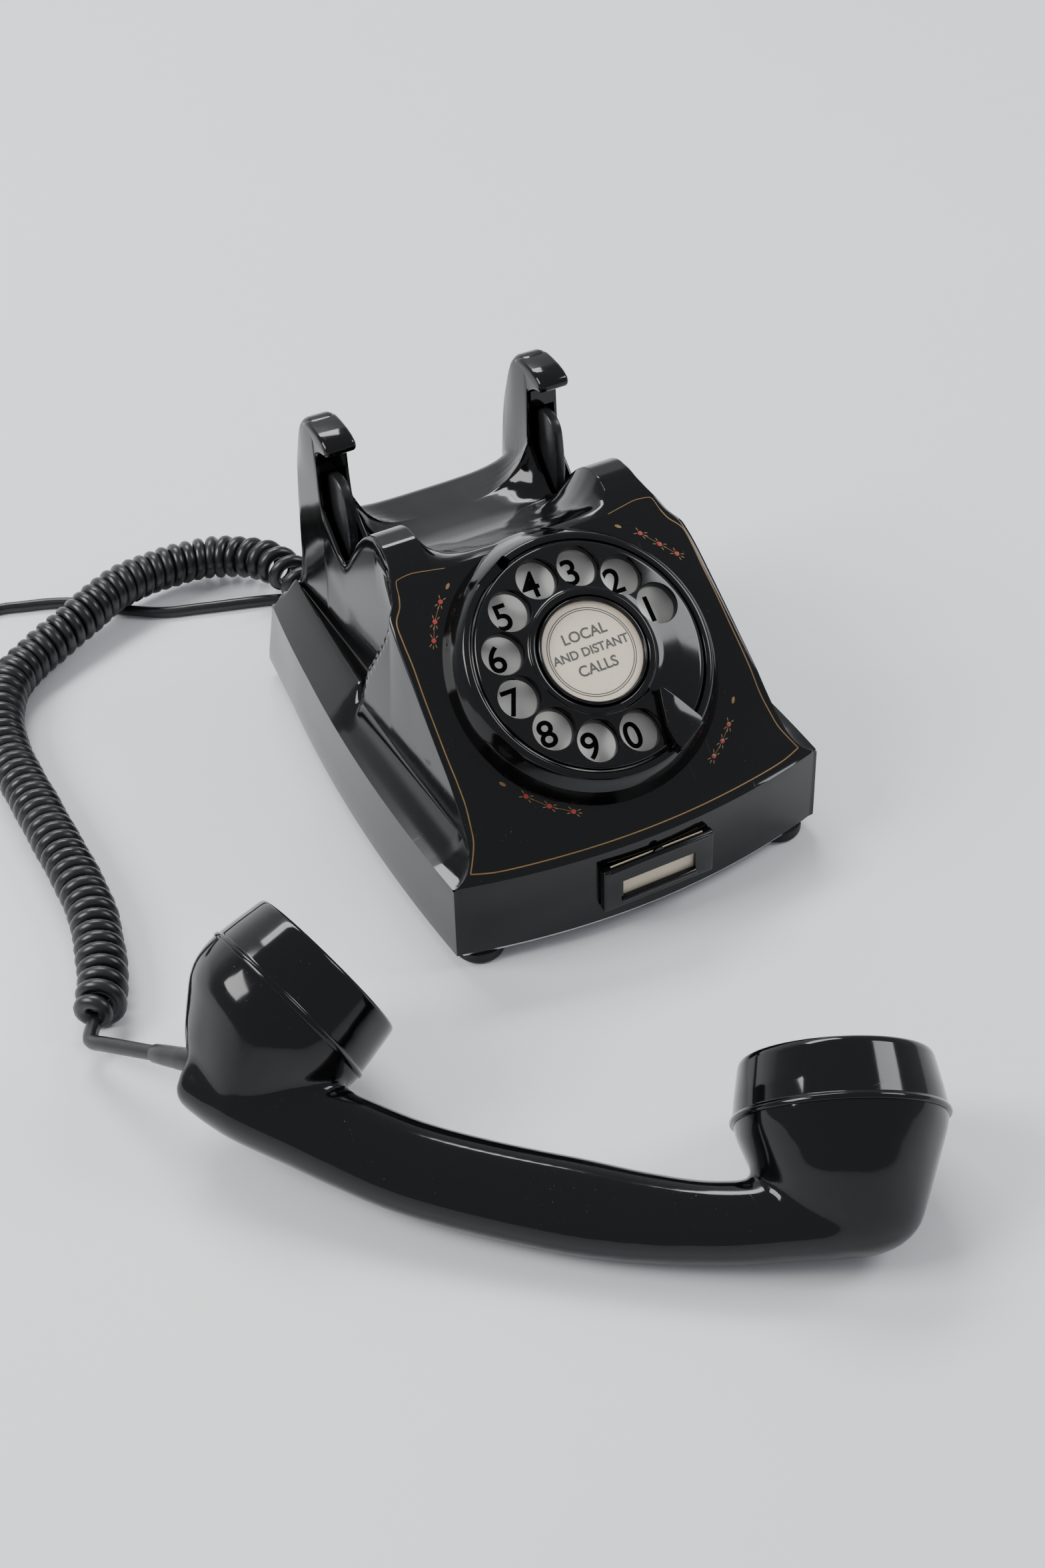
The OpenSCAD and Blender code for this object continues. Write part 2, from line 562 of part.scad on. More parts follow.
module tube(path, radii, sides) {
  n = len(path);
  tang = [for (i = [0:n - 1]) unit3(path[min(n - 1, i + 1)] - path[max(0, i - 1)])];
  pts = [for (i = [0:n - 1]) let (t = tang[i], a = unit3(cross3([0, 0, 1], t)),
    b = cross3(t, a)) for (k = [0:sides - 1]) path[i] + radii[i] * (cos(360 * (k + 0.5) / sides)
    * a + sin(360 * (k + 0.5) / sides) * b)];
  sidef = [for (i = [0:n - 2]) for (k = [0:sides - 1]) let (k2 = (k + 1) % sides)
    each [[i * sides + k, i * sides + k2, (i + 1) * sides + k],
    [i * sides + k2, (i + 1) * sides + k2, (i + 1) * sides + k]]];
  polyhedron(pts, concat(sidef, [[for (k = [0:sides - 1]) sides - 1 - k]],
    [[for (k = [0:sides - 1]) (n - 1) * sides + k]]), convexity = 10);
}

curl_r = curl_od / 2;
sleeve_at = [-163.7, -98.7, 27.4];
sleeve_dir = unit3([-19.5, 39.7, -18.6]);
curl_route = [[-30, 99, 13], [-31, 112, 13.4], [-33, 128, 13.6], [-38, 145, 12.4],
  [-53, 159, 10.8], [-73, 160, 12.2], [-95, 155, 13.4], [-115, 145, 11.5], [-134, 136, 9], [-147, 126, 8.6],
  [-155, 113, 8.6], [-160, 97, 8.6], [-162, 77, 8.6], [-162, 55, 8.6], [-162, 32, 8.6],
  [-162, 12, 8.6], [-163, -7, 8.6], [-166, -22, 8.6], [-170, -37, 8.6], [-175, -48, 8.6],
  [-179, -54, 8.8]];
curl_path = curve(curl_route, 3);
curl_n = len(curl_path);
module handset_cord() {
  path = concat(curl_path, [[-181.6, -58.4, 9], [-182, -62, 9.6], [-179, -68.6, 13.2],
    sleeve_at + 14.3 * sleeve_dir]);
  color("#1b1b1c") tube(path, [for (i = [0:len(path) - 1])
    i < 3 ? mix(curl_wire / 2, curl_r, i / 3) : i < curl_n ? curl_r
    : lookup(i - curl_n, [[0, 5.4], [1, 3], [2, 2.6], [3, 2.6]])], 12);
}
line_route = [[-8, 97, 10.5], [-13, 110, 6.5], [-24, 122, 2.8], [-40, 132, 2.2],
  [-66, 141, 2.2], [-82, 147, 2.2], [-97, 159, 2.2], [-110, 171, 2.2], [-126, 178, 2.2],
  [-145, 182, 2.2], [-163, 185, 2.2], [-178.5, 190.6, 2.2]];
module line_cord() {
  color("#1b1b1c") tube(curve(line_route, 5), [for (i = [0:60]) line_d / 2], 8);
}
coil_c = [-198, 214];
coil_r = 24;
plug_at = [-220.2, 235.3, 12.7];
plug_turn = 130;
module line_coil() {
  color("#1b1b1c") translate([coil_c[0], coil_c[1], 0]) rotate_extrude($fn = 64)
    polygon([[coil_r - 6.3, 0], [coil_r + 6.3, 0], [coil_r + 6.3, 12.7],
      [coil_r - 6.3, 12.7]]);
}
module line_plug() {
  color("#242424") translate(plug_at) rotate([0, 0, plug_turn]) rotate([0, 90, 0]) union() {
    cylinder(h = 8, r1 = 3.4, r2 = 7);
    translate([0, 0, 8]) cylinder(h = 20, r = 12.6);
    for (q = [[-5, 5], [5, 5], [-5, -5], [5, -5]]) translate([q[0], q[1], 27]) cylinder(h = 13, r = 1.6);
  }
}

// ---- handset ----
function hp(s) = [lookup(s, [[0, -146], [1, -143.4], [2, -135], [3, -125], [4, -111], [5, -97],
    [6, -80], [7, -60], [8, -36], [9, -14], [10, 5], [11, 22], [12, 38]]),
  lookup(s, [[0, 34], [1, 33], [2, 30], [3, 26], [4, 20], [5, 13.4], [6, 6.2], [7, 0.4],
    [8, -5], [9, -9], [10, -10.8], [11, -10.4], [12, -9]])];
function ha(s) = lookup(s, [[0, 6.4], [1, 8.6], [2, 11.4], [3, 13], [4, 13.4], [5, 13.4], [8, 13.6],
  [9, 12.6], [10, 11.6], [11, 11.6], [12, 12.5]]);
function hb(s) = lookup(s, [[0, 6.4], [1, 8.4], [2, 11], [3, 12.6], [4, 12.4], [5, 11.8], [6, 11],
  [9, 10.4], [10, 10.6], [12, 12.4]]);
module handle_bar() {
  n = 12;
  sides = 24;
  pts = [for (i = [0:n]) let (c = hp(i), d = hp(min(n, i + 1)) - hp(max(0, i - 1)),
    u = d / norm(d)) for (k = [0:sides - 1]) let (a = 360 * k / sides)
    [c[0] - u[1] * ha(i) * cos(a), c[1] + u[0] * ha(i) * cos(a), hb(i) * sin(a)]];
  sidef = [for (i = [0:n - 1]) for (k = [0:sides - 1]) let (k2 = (k + 1) % sides)
    each [[i * sides + k, (i + 1) * sides + k, i * sides + k2],
    [i * sides + k2, (i + 1) * sides + k, (i + 1) * sides + k2]]];
  polyhedron(pts, concat(sidef, [[for (k = [0:sides - 1]) k]],
    [[for (k = [0:sides - 1]) n * sides + sides - 1 - k]]), convexity = 6);
}
// transmitter and receiver head frames: origin at the seam centre, +Z out of the cap
module txf() { translate([-117.1, 53.6, 0]) rotate([0, 0, -43.9]) rotate([-90, 0, 0]) children(); }
module rxf() { translate([41.2, 17, 0]) rotate([0, 0, 1.9]) rotate([-90, 0, 0]) children(); }

// handset end of the cord, +Z leaving the handle
module sleevef() {
  translate(sleeve_at) rotate([0, acos(sleeve_dir[2]), atan2(sleeve_dir[1], sleeve_dir[0])]) children();
}

module handle() {
  color(bake) difference() {
    hsf() union() {
      handle_bar();
      hull() {
        txf() translate([0, 0, -3]) cylinder(h = 2.9, r = 29.6, $fn = 40);
        txf() translate([0, 0, -14]) cylinder(h = 4, r = 26, $fn = 32);
        translate([-126, 31, 0]) sphere(r = 15, $fn = 20);
      }
      hull() {
        rxf() translate([0, 0, -3]) cylinder(h = 2.9, r1 = 28.6, r2 = 30.4, $fn = 40);
        rxf() translate([0, 0, -8]) cylinder(h = 2, r = 25.6, $fn = 32);
        rxf() translate([0, 0, -16]) cylinder(h = 2, r = 22.2, $fn = 32);
        translate([42, -7.6, 0]) scale([1.5, 1, 1]) sphere(r = 13.4, $fn = 20);
      }
    }
    hsf() txf() translate([0, 0, -16.5]) cylinder(h = 20, r = 24.4);
    hsf() rxf() translate([0, 0, -18]) cylinder(h = 22, r = 24.4);
    sleevef() translate([0, 0, -9]) cylinder(h = 20, r = 3.2);
  }
}
module transmitter_cap() {
  color(bake) hsf() txf() difference() {
    rotate_extrude($fn = 72) polygon([[0, 10.4], [0, 12.8], [12, 13.6], [20, 15.2], [24.6, 17.4],
      [25.8, 17.6], [26.8, 17], [27.3, 15.6], [28.6, 7], [29.2, 2.2], [30.3, 1.6], [30.3, 0],
      [26.6, 0], [25.4, 9], [24, 11], [12, 10.4]]);
    for (k = [0:5]) rotate([0, 0, 60 * k]) translate([5, 0, 8]) cylinder(h = 10, r = 1);
    for (k = [0:11]) rotate([0, 0, 30 * k]) translate([10, 0, 8]) cylinder(h = 10, r = 1);
    for (k = [0:15]) rotate([0, 0, 22.5 * k]) translate([15, 0, 8]) cylinder(h = 10, r = 1);
    translate([0, 0, 8]) cylinder(h = 10, r = 1);
  }
}
module receiver_cap() {
  color(bake) hsf() rxf() difference() {
    rotate_extrude($fn = 72) polygon([[0, 8.2], [0, 10.4], [8, 10.8], [16, 13], [22, 15.6],
      [24.6, 17.6], [26, 18], [27, 17.4], [27.6, 16], [29.4, 7], [30.1, 2.2], [31.2, 1.6],
      [31.2, 0], [27, 0], [25.8, 9], [24, 11.4], [16, 10], [8, 8.4]]);
    for (k = [0:5]) rotate([0, 0, 60 * k]) translate([6, 0, 5]) cylinder(h = 12, r = 1.2);
    translate([0, 0, 5]) cylinder(h = 12, r = 1.2);
  }
}
module transmitter_capsule() {
  color("#a8a294") hsf() txf() union() {
    translate([0, 0, -8]) cylinder(h = 16, r = 24);
    translate([0, 0, -12]) cylinder(h = 4, r = 12);
  }
}
module receiver_capsule() {
  color("#a8a294") hsf() rxf() union() {
    translate([0, 0, -10]) cylinder(h = 17, r = 24);
    translate([0, 0, -14]) cylinder(h = 4, r = 14);
  }
}
module handle_terminals() {
  color(brass) hsf() txf() translate([0, 0, -16]) union() {
    cylinder(h = 1.2, r = 16);
    for (a = [0, 120, 240]) rotate([0, 0, a]) translate([12.5, 0, 1]) cylinder(h = 2.5, r = 1.6);
  }
}
module handset_sleeve() {
  color("#1b1b1c") sleevef() translate([0, 0, -6]) cylinder(h = 20, r1 = 3.15, r2 = 2.8);
}
module cord_grommet_handset() {
  color("#1b1b1c") translate([-30, 0, 13]) rotate([-90, 0, 0]) difference() {
    union() {
      translate([0, 0, 86.5]) cylinder(h = 8, r = 5);
      translate([0, 0, 94]) cylinder(h = 5, r1 = 6.4, r2 = 4.6);
    }
    translate([0, 0, 80]) cylinder(h = 30, r = 2.62);
  }
}
module cord_grommet_line() {
  color("#1b1b1c") translate([-8, 0, 10.5]) rotate([-90, 0, 0]) difference() {
    union() {
      translate([0, 0, 86.5]) cylinder(h = 8, r = 4);
      translate([0, 0, 94]) cylinder(h = 3, r1 = 5.4, r2 = 4);
    }
    translate([0, 0, 80]) cylinder(h = 30, r = 2.12);
  }
}

base_plate();
foot_front_left();
foot_front_right();
foot_rear_left();
foot_rear_right();
housing();
hook_insert_left();
hook_insert_right();
housing_screw();
card_frame();
card();
card_window();
dial_plate();
dial_case();
number_plate();
finger_wheel();
label_card();
label_window();
label_ring();
dial_shaft();
finger_stop();
spring_barrel();
main_gear();
pulse_wheel();
governor();
governor_cup();
pulse_contacts();
cradle_lever_left();
cradle_lever_right();
cradle_shaft();
hook_arm();
cradle_bracket();
switch_pile();
ringer_frame();
ringer_coil_left();
ringer_coil_right();
gong_left();
gong_right();
clapper();
induction_coil();
capacitor();
terminal_strip();
cord_grommet_handset();
cord_grommet_line();
handset_cord();
line_cord();
line_coil();
line_plug();
handle();
transmitter_cap();
receiver_cap();
transmitter_capsule();
receiver_capsule();
handle_terminals();
handset_sleeve();
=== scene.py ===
import bpy
import bmesh
import json
from math import cos, pi, radians, sin, sqrt
from mathutils import Matrix, Vector


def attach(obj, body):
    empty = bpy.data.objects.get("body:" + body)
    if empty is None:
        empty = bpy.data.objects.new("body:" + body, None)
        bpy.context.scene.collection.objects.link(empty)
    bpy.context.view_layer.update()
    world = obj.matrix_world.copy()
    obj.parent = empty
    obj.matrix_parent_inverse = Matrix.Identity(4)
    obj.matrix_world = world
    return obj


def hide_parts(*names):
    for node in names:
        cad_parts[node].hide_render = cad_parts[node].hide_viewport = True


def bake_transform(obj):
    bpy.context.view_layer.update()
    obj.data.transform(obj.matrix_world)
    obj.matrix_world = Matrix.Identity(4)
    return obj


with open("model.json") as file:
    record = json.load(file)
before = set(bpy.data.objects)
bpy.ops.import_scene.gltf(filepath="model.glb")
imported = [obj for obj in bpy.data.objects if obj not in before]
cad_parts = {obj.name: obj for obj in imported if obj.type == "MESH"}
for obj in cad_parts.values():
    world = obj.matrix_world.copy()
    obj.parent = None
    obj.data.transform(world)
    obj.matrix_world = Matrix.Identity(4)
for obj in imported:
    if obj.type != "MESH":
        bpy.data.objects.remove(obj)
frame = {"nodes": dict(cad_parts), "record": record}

MM = 0.001
SCENE = bpy.context.scene
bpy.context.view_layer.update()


# ------------------------------------------------------------------ small maths
def lerp(a, b, t):
    return a + (b - a) * t


def smooth(t):
    u = min(1.0, max(0.0, t))
    return u * u * (3 - 2 * u)


def lin(x, table):
    if x <= table[0][0]:
        return table[0][1]
    for (x0, y0), (x1, y1) in zip(table, table[1:]):
        if x <= x1:
            return lerp(y0, y1, (x - x0) / (x1 - x0))
    return table[-1][1]


def curved(table):
    """Monotone cubic through the points of a table."""
    xs = [p[0] for p in table]
    ys = [p[1] for p in table]
    n = len(xs)
    d = [(ys[i + 1] - ys[i]) / (xs[i + 1] - xs[i]) for i in range(n - 1)]
    m = [d[0]] + [0.0] * (n - 2) + [d[-1]]
    for i in range(1, n - 1):
        if d[i - 1] * d[i] > 0:
            w1 = 2 * (xs[i + 1] - xs[i]) + xs[i] - xs[i - 1]
            w2 = xs[i + 1] - xs[i] + 2 * (xs[i] - xs[i - 1])
            m[i] = (w1 + w2) / (w1 / d[i - 1] + w2 / d[i])

    def f(x):
        if x <= xs[0]:
            return ys[0]
        if x >= xs[-1]:
            return ys[-1]
        i = 0
        while x > xs[i + 1]:
            i += 1
        h = xs[i + 1] - xs[i]
        t = (x - xs[i]) / h
        return ((2 * t**3 - 3 * t**2 + 1) * ys[i] + (t**3 - 2 * t**2 + t) * h * m[i]
                + (-2 * t**3 + 3 * t**2) * ys[i + 1] + (t**3 - t**2) * h * m[i + 1])
    return f


def spline(pts, n):
    """Catmull-Rom through the points, n steps each."""
    out = []
    last = len(pts) - 1
    for i in range(last):
        a, b, c, d = (Vector(pts[max(0, i - 1)]), Vector(pts[i]), Vector(pts[i + 1]),
                      Vector(pts[min(last, i + 2)]))
        for k in range(n):
            t = k / n
            out.append(0.5 * (2 * b + (c - a) * t + (2 * a - 5 * b + 4 * c - d) * t * t
                              + (3 * b - a - 3 * c + d) * t**3))
    out.append(Vector(pts[last]))
    return out


def rounded(pts, radius, n=4):
    """An open polyline with each inner corner eased over radius; always the same point count."""
    out = [Vector(pts[0])]
    for a, b, c in zip(pts, pts[1:], pts[2:]):
        a, b, c = Vector(a), Vector(b), Vector(c)
        da, dc = (a - b), (c - b)
        r = min(radius, da.length * 0.45, dc.length * 0.45)
        p = b + (da.normalized() * r if da.length > 1e-9 else da * 0)
        q = b + (dc.normalized() * r if dc.length > 1e-9 else dc * 0)
        for k in range(n + 1):
            t = k / n
            out.append(p * (1 - t) ** 2 + b * 2 * t * (1 - t) + q * t * t)
    out.append(Vector(pts[-1]))
    return out


# ------------------------------------------------------------------ mesh helpers
def make(name, verts, faces, matrix=None, angle=35):
    me = bpy.data.meshes.new(name)
    me.from_pydata([tuple(Vector(v) * MM) for v in verts], [], faces)
    if matrix is not None:
        me.transform(matrix)
    me.validate()
    finish_mesh(me, angle)
    ob = bpy.data.objects.new(name, me)
    SCENE.collection.objects.link(ob)
    return ob


def finish_mesh(me, angle=35):
    bm = bmesh.new()
    bm.from_mesh(me)
    bmesh.ops.remove_doubles(bm, verts=bm.verts, dist=1e-6)
    bmesh.ops.recalc_face_normals(bm, faces=bm.faces)
    bm.to_mesh(me)
    bm.free()
    me.shade_smooth()
    me.set_sharp_from_angle(angle=radians(angle))


def grid(name, rows, close_u=False, close_v=False, caps=False, matrix=None, angle=35):
    n, m = len(rows), len(rows[0])
    verts = [p for r in rows for p in r]
    faces = []
    for i in range(n if close_u else n - 1):
        for j in range(m if close_v else m - 1):
            i2, j2 = (i + 1) % n, (j + 1) % m
            faces.append((i * m + j, i2 * m + j, i2 * m + j2, i * m + j2))
    if caps:
        faces.append(tuple(range(m)))
        faces.append(tuple((n - 1) * m + j for j in reversed(range(m))))
    return make(name, verts, faces, matrix, angle)


def lathe(name, profile, steps=128, matrix=None, angle=35, ease=0.0, close=False):
    if ease:
        profile = [tuple(p) for p in rounded([(a, b, 0) for a, b in profile], ease)]
    rows = [[(p[0] * cos(2 * pi * k / steps), p[0] * sin(2 * pi * k / steps), p[1]) for p in profile]
            for k in range(steps)]
    on_axis = abs(profile[0][0]) < 1e-9 and abs(profile[-1][0]) < 1e-9
    return grid(name, rows, close_u=True, close_v=close and not on_axis, matrix=matrix, angle=angle)


def tube(name, path, radius, sides=16, matrix=None):
    """A round tube along the path, with a frame carried along it."""
    n = len(path)
    path = [Vector(p) for p in path]
    tang = [(path[min(n - 1, i + 1)] - path[max(0, i - 1)]).normalized() for i in range(n)]
    side = tang[0].orthogonal().normalized()
    rows = []
    for i in range(n):
        side = (side - tang[i] * side.dot(tang[i])).normalized()
        up = tang[i].cross(side)
        r = radius(i) if callable(radius) else radius
        rows.append([path[i] + r * (cos(2 * pi * k / sides) * side + sin(2 * pi * k / sides) * up)
                     for k in range(sides)])
    return grid(name, rows, close_v=True, caps=True, matrix=matrix, angle=50)


def prism(name, outline, x0, x1, matrix=None, ease=0.8, steps=3, angle=30):
    """A YZ outline carried along X, with eased edges."""
    m = len(outline)
    flat = [Vector(p) for p in outline]

    def inset(d):
        out = []
        for i in range(m):
            a, b, c = flat[i - 1], flat[i], flat[(i + 1) % m]
            e1, e2 = (b - a).normalized(), (c - b).normalized()
            n1, n2 = Vector((-e1.y, e1.x)), Vector((-e2.y, e2.x))
            k = n1 + n2
            k = k / max(0.35, k.dot(n1)) if k.length > 1e-6 else n1
            out.append(b + k * d * turn)
        return out
    area = sum(a.x * b.y - b.x * a.y for a, b in zip(flat, flat[1:] + flat[:1]))
    turn = 1 if area > 0 else -1
    rows = []
    levels = [(x, ease * (1 - sqrt(max(0.0, 1 - ((x0 + ease - x) / ease) ** 2)))) for x in
              [x0 + ease * (1 - cos(pi / 2 * k / steps)) for k in range(steps + 1)]]
    back = [(x0 + x1 - x, d) for x, d in reversed(levels)]
    for x, d in levels + back:
        rows.append([(x, p.x, p.y) for p in inset(d)])
    return grid(name, rows, close_v=True, caps=True, matrix=matrix, angle=angle)


def box(name, lo, hi, ease=0.4, matrix=None):
    bm = bmesh.new()
    bmesh.ops.create_cube(bm, size=1)
    for v in bm.verts:
        v.co = Vector([lerp(lo[i], hi[i], v.co[i] + 0.5) for i in range(3)]) * MM
    if ease:
        bmesh.ops.bevel(bm, geom=bm.edges[:], offset=ease * MM, segments=3, affect="EDGES", profile=0.5)
    me = bpy.data.meshes.new(name)
    bm.to_mesh(me)
    bm.free()
    if matrix is not None:
        me.transform(matrix)
    me.shade_smooth()
    me.set_sharp_from_angle(angle=radians(35))
    ob = bpy.data.objects.new(name, me)
    SCENE.collection.objects.link(ob)
    return ob


def cut(ob, tools, operation="DIFFERENCE", keep=False):
    for t in tools:
        mod = ob.modifiers.new("cut", "BOOLEAN")
        mod.operation = operation
        mod.solver = "EXACT"
        mod.object = t
    dg = bpy.context.evaluated_depsgraph_get()
    me = bpy.data.meshes.new_from_object(ob.evaluated_get(dg))
    ob.modifiers.clear()
    ob.data = me
    for t in tools:
        if not keep:
            bpy.data.objects.remove(t)
    me.shade_smooth()
    me.set_sharp_from_angle(angle=radians(32))
    return ob


def join(name, obs):
    bm = bmesh.new()
    for o in obs:
        me = o.data.copy()
        me.transform(o.matrix_world)
        bm.from_mesh(me)
    me = bpy.data.meshes.new(name)
    bm.to_mesh(me)
    bm.free()
    for o in obs:
        bpy.data.objects.remove(o)
    me.shade_smooth()
    me.set_sharp_from_angle(angle=radians(35))
    ob = bpy.data.objects.new(name, me)
    SCENE.collection.objects.link(ob)
    return ob


def at(x, y, z):
    return Matrix.Translation(Vector((x, y, z)) * MM)


def rot(axis, deg):
    return Matrix.Rotation(radians(deg), 4, axis)


DIAL = at(0, -50.3, 80.5) @ rot("X", 37.1)
HS = at(-54.8, -203.3, 17) @ rot("Z", -30.9) @ rot("Y", -3.2) @ rot("X", 28.8)
TX = HS @ at(-117.1, 53.6, 0) @ rot("Z", -43.9) @ rot("X", -90)
RX = HS @ at(41.2, 17, 0) @ rot("Z", 1.9) @ rot("X", -90)


# ------------------------------------------------------------------ materials
def material(name, base, rough, spec=0.5, metal=0.0, coat=0.0):
    mat = bpy.data.materials.new(name)
    mat.use_nodes = True
    nt = mat.node_tree
    b = nt.nodes["Principled BSDF"]
    b.inputs["Base Color"].default_value = (*base, 1)
    b.inputs["Roughness"].default_value = rough
    b.inputs["Metallic"].default_value = metal
    b.inputs["Specular IOR Level"].default_value = spec
    b.inputs["Coat Weight"].default_value = coat
    b.inputs["Coat Roughness"].default_value = 0.03
    return mat, nt, b


def node(nt, kind, **props):
    n = nt.nodes.new(kind)
    for k, v in props.items():
        if k in n.inputs:
            n.inputs[k].default_value = v
        else:
            setattr(n, k, v)
    return n


def coords(nt, scale=(1, 1, 1)):
    tc = nt.nodes.new("ShaderNodeTexCoord")
    mp = nt.nodes.new("ShaderNodeMapping")
    mp.inputs["Scale"].default_value = scale
    nt.links.new(tc.outputs["Object"], mp.inputs["Vector"])
    return mp.outputs["Vector"]


def noise(nt, vec, scale, detail=4, rough=0.55, distortion=0.0):
    n = node(nt, "ShaderNodeTexNoise", Scale=scale, Detail=detail, Roughness=rough,
             Distortion=distortion)
    nt.links.new(vec, n.inputs["Vector"])
    return n.outputs["Fac"]


def ramp(nt, fac, stops):
    r = nt.nodes.new("ShaderNodeValToRGB")
    el = r.color_ramp.elements
    while len(el) > 1:
        el.remove(el[0])
    el[0].position, el[0].color = stops[0][0], (*[stops[0][1]] * 3, 1) if isinstance(
        stops[0][1], (int, float)) else (*stops[0][1], 1)
    for p, c in stops[1:]:
        e = el.new(p)
        e.color = (c, c, c, 1) if isinstance(c, (int, float)) else (*c, 1)
    nt.links.new(fac, r.inputs["Fac"])
    return r.outputs["Color"]


def bump(nt, bsdf, height, strength, distance, into=None):
    b = node(nt, "ShaderNodeBump", Strength=strength, Distance=distance)
    nt.links.new(height, b.inputs["Height"])
    if into is not None:
        nt.links.new(into, b.inputs["Normal"])
    nt.links.new(b.outputs["Normal"], bsdf.inputs["Normal"])
    return b.outputs["Normal"]


def mixed(nt, fac, a, b):
    m = node(nt, "ShaderNodeMix", data_type="RGBA")
    nt.links.new(fac, m.inputs["Factor"])
    for sock, v in ((m.inputs["A"], a), (m.inputs["B"], b)):
        if isinstance(v, tuple):
            m.inputs[sock.name].default_value = (*v, 1)
            sock.default_value = (*v, 1)
        else:
            nt.links.new(v, sock)
    return m.outputs["Result"]


def math_node(nt, op, a, b):
    m = node(nt, "ShaderNodeMath", operation=op)
    for i, v in enumerate((a, b)):
        if isinstance(v, (int, float)):
            m.inputs[i].default_value = v
        else:
            nt.links.new(v, m.inputs[i])
    return m.outputs[0]


def bakelite(name, base=(0.003, 0.003, 0.0033), rough=0.075, wear=1.0):
    mat, nt, b = material(name, base, rough, spec=0.36)
    v = coords(nt)
    cloud = noise(nt, v, 28, 5, 0.6)
    rr = ramp(nt, cloud, [(0.3, rough * 0.7), (0.62, rough * 1.3), (0.8, rough * 2.2)])
    scr = noise(nt, coords(nt, (900, 60, 60)), 1.0, 2)
    scr2 = noise(nt, coords(nt, (50, 800, 120)), 1.0, 2)
    marks = math_node(nt, "MAXIMUM", ramp(nt, scr, [(0.71, 0.0), (0.74, 1.0)]),
                      ramp(nt, scr2, [(0.72, 0.0), (0.75, 1.0)]))
    nt.links.new(math_node(nt, "ADD", rr, math_node(nt, "MULTIPLY", marks, 0.12 * wear)),
                 b.inputs["Roughness"])
    specks = ramp(nt, noise(nt, v, 1500, 1), [(0.765, 0.0), (0.8, 1.0)])
    patch = ramp(nt, noise(nt, v, 45, 3), [(0.42, 0.0), (0.7, 1.0)])
    geo = nt.nodes.new("ShaderNodeNewGeometry")
    sep = nt.nodes.new("ShaderNodeSeparateXYZ")
    nt.links.new(geo.outputs["Normal"], sep.inputs["Vector"])
    up = ramp(nt, sep.outputs["Z"], [(0.25, 0.0), (0.95, 1.0)])
    dust = math_node(nt, "MULTIPLY", math_node(nt, "MULTIPLY", specks, patch), up)
    dust = math_node(nt, "MULTIPLY", dust, 0.5 * wear)
    nt.links.new(mixed(nt, dust, base, (0.3, 0.29, 0.27)), b.inputs["Base Color"])
    low = bump(nt, b, noise(nt, v, 60, 2), 0.05, 0.0004)
    bump(nt, b, marks, 0.03 * wear, 0.00008, low)
    return mat


def plain(name, base, rough, metal=0.0, grain=300, strength=0.15, depth=0.00005, vary=0.15,
          spec=0.5, coat=0.0):
    mat, nt, b = material(name, base, rough, spec, metal, coat)
    v = coords(nt)
    n1 = noise(nt, v, grain, 4)
    n2 = noise(nt, v, grain / 9, 4)
    dark = tuple(c * (1 - vary) for c in base)
    lite = tuple(min(1, c * (1 + vary)) for c in base)
    nt.links.new(mixed(nt, n2, dark, lite), b.inputs["Base Color"])
    nt.links.new(ramp(nt, n2, [(0.3, rough * 0.8), (0.7, min(1, rough * 1.2))]), b.inputs["Roughness"])
    bump(nt, b, n1, strength, depth)
    return mat


MAT = {
    "bakelite": bakelite("bakelite"),
    "plated_steel": plain("plated_steel", (0.5, 0.5, 0.51), 0.32, 1.0, 700),
    "brass_parts": plain("brass_parts", (0.6, 0.42, 0.17), 0.3, 1.0, 600),
    "foot_rubber": plain("foot_rubber", (0.012, 0.012, 0.012), 0.75, 0, 900, 0.4, 0.0001),
    "blackened_steel": plain("blackened_steel", (0.035, 0.036, 0.038), 0.3, 0.6, 500, 0.2, 0.00005, 0.5),
    "card_paper": plain("card_paper", (0.74, 0.63, 0.44), 0.85, 0, 900, 0.3, 0.00006, 0.1),
    "enamel_white": plain("enamel_white", (0.88, 0.87, 0.82), 0.25, 0, 120, 0.03, 0.00005, 0.06),
    "cord_rubber": plain("cord_rubber", (0.008, 0.008, 0.009), 0.33, 0, 800, 0.25, 0.00006, 0.3),
    "plug_plastic": bakelite("plug_plastic", rough=0.16),
    "insulating_board": plain("insulating_board", (0.2, 0.1, 0.05), 0.6, 0, 400, 0.3),
    "coil_wrap": plain("coil_wrap", (0.25, 0.07, 0.03), 0.5, 0, 900, 0.4),
    "aluminium_parts": plain("aluminium_parts", (0.6, 0.61, 0.62), 0.35, 1.0, 500),
}
clear, nt, b = material("clear_cover", (0.93, 0.92, 0.88), 0.06)
b.inputs["Alpha"].default_value = 0.12
nt.links.new(ramp(nt, noise(nt, coords(nt), 220, 4), [(0.4, 0.04), (0.75, 0.2)]), b.inputs["Roughness"])
MAT["clear_cover"] = clear

gold = plain("gold_line", (0.2, 0.12, 0.045), 0.5, 0.3, 1600, 0.3, 0.00004, 0.35)
red = plain("red_paint", (0.28, 0.022, 0.016), 0.42, 0, 1500, 0.3, 0.00004, 0.3)
ink = plain("black_ink", (0.006, 0.006, 0.006), 0.7, 0, 900, 0.1, spec=0.05)

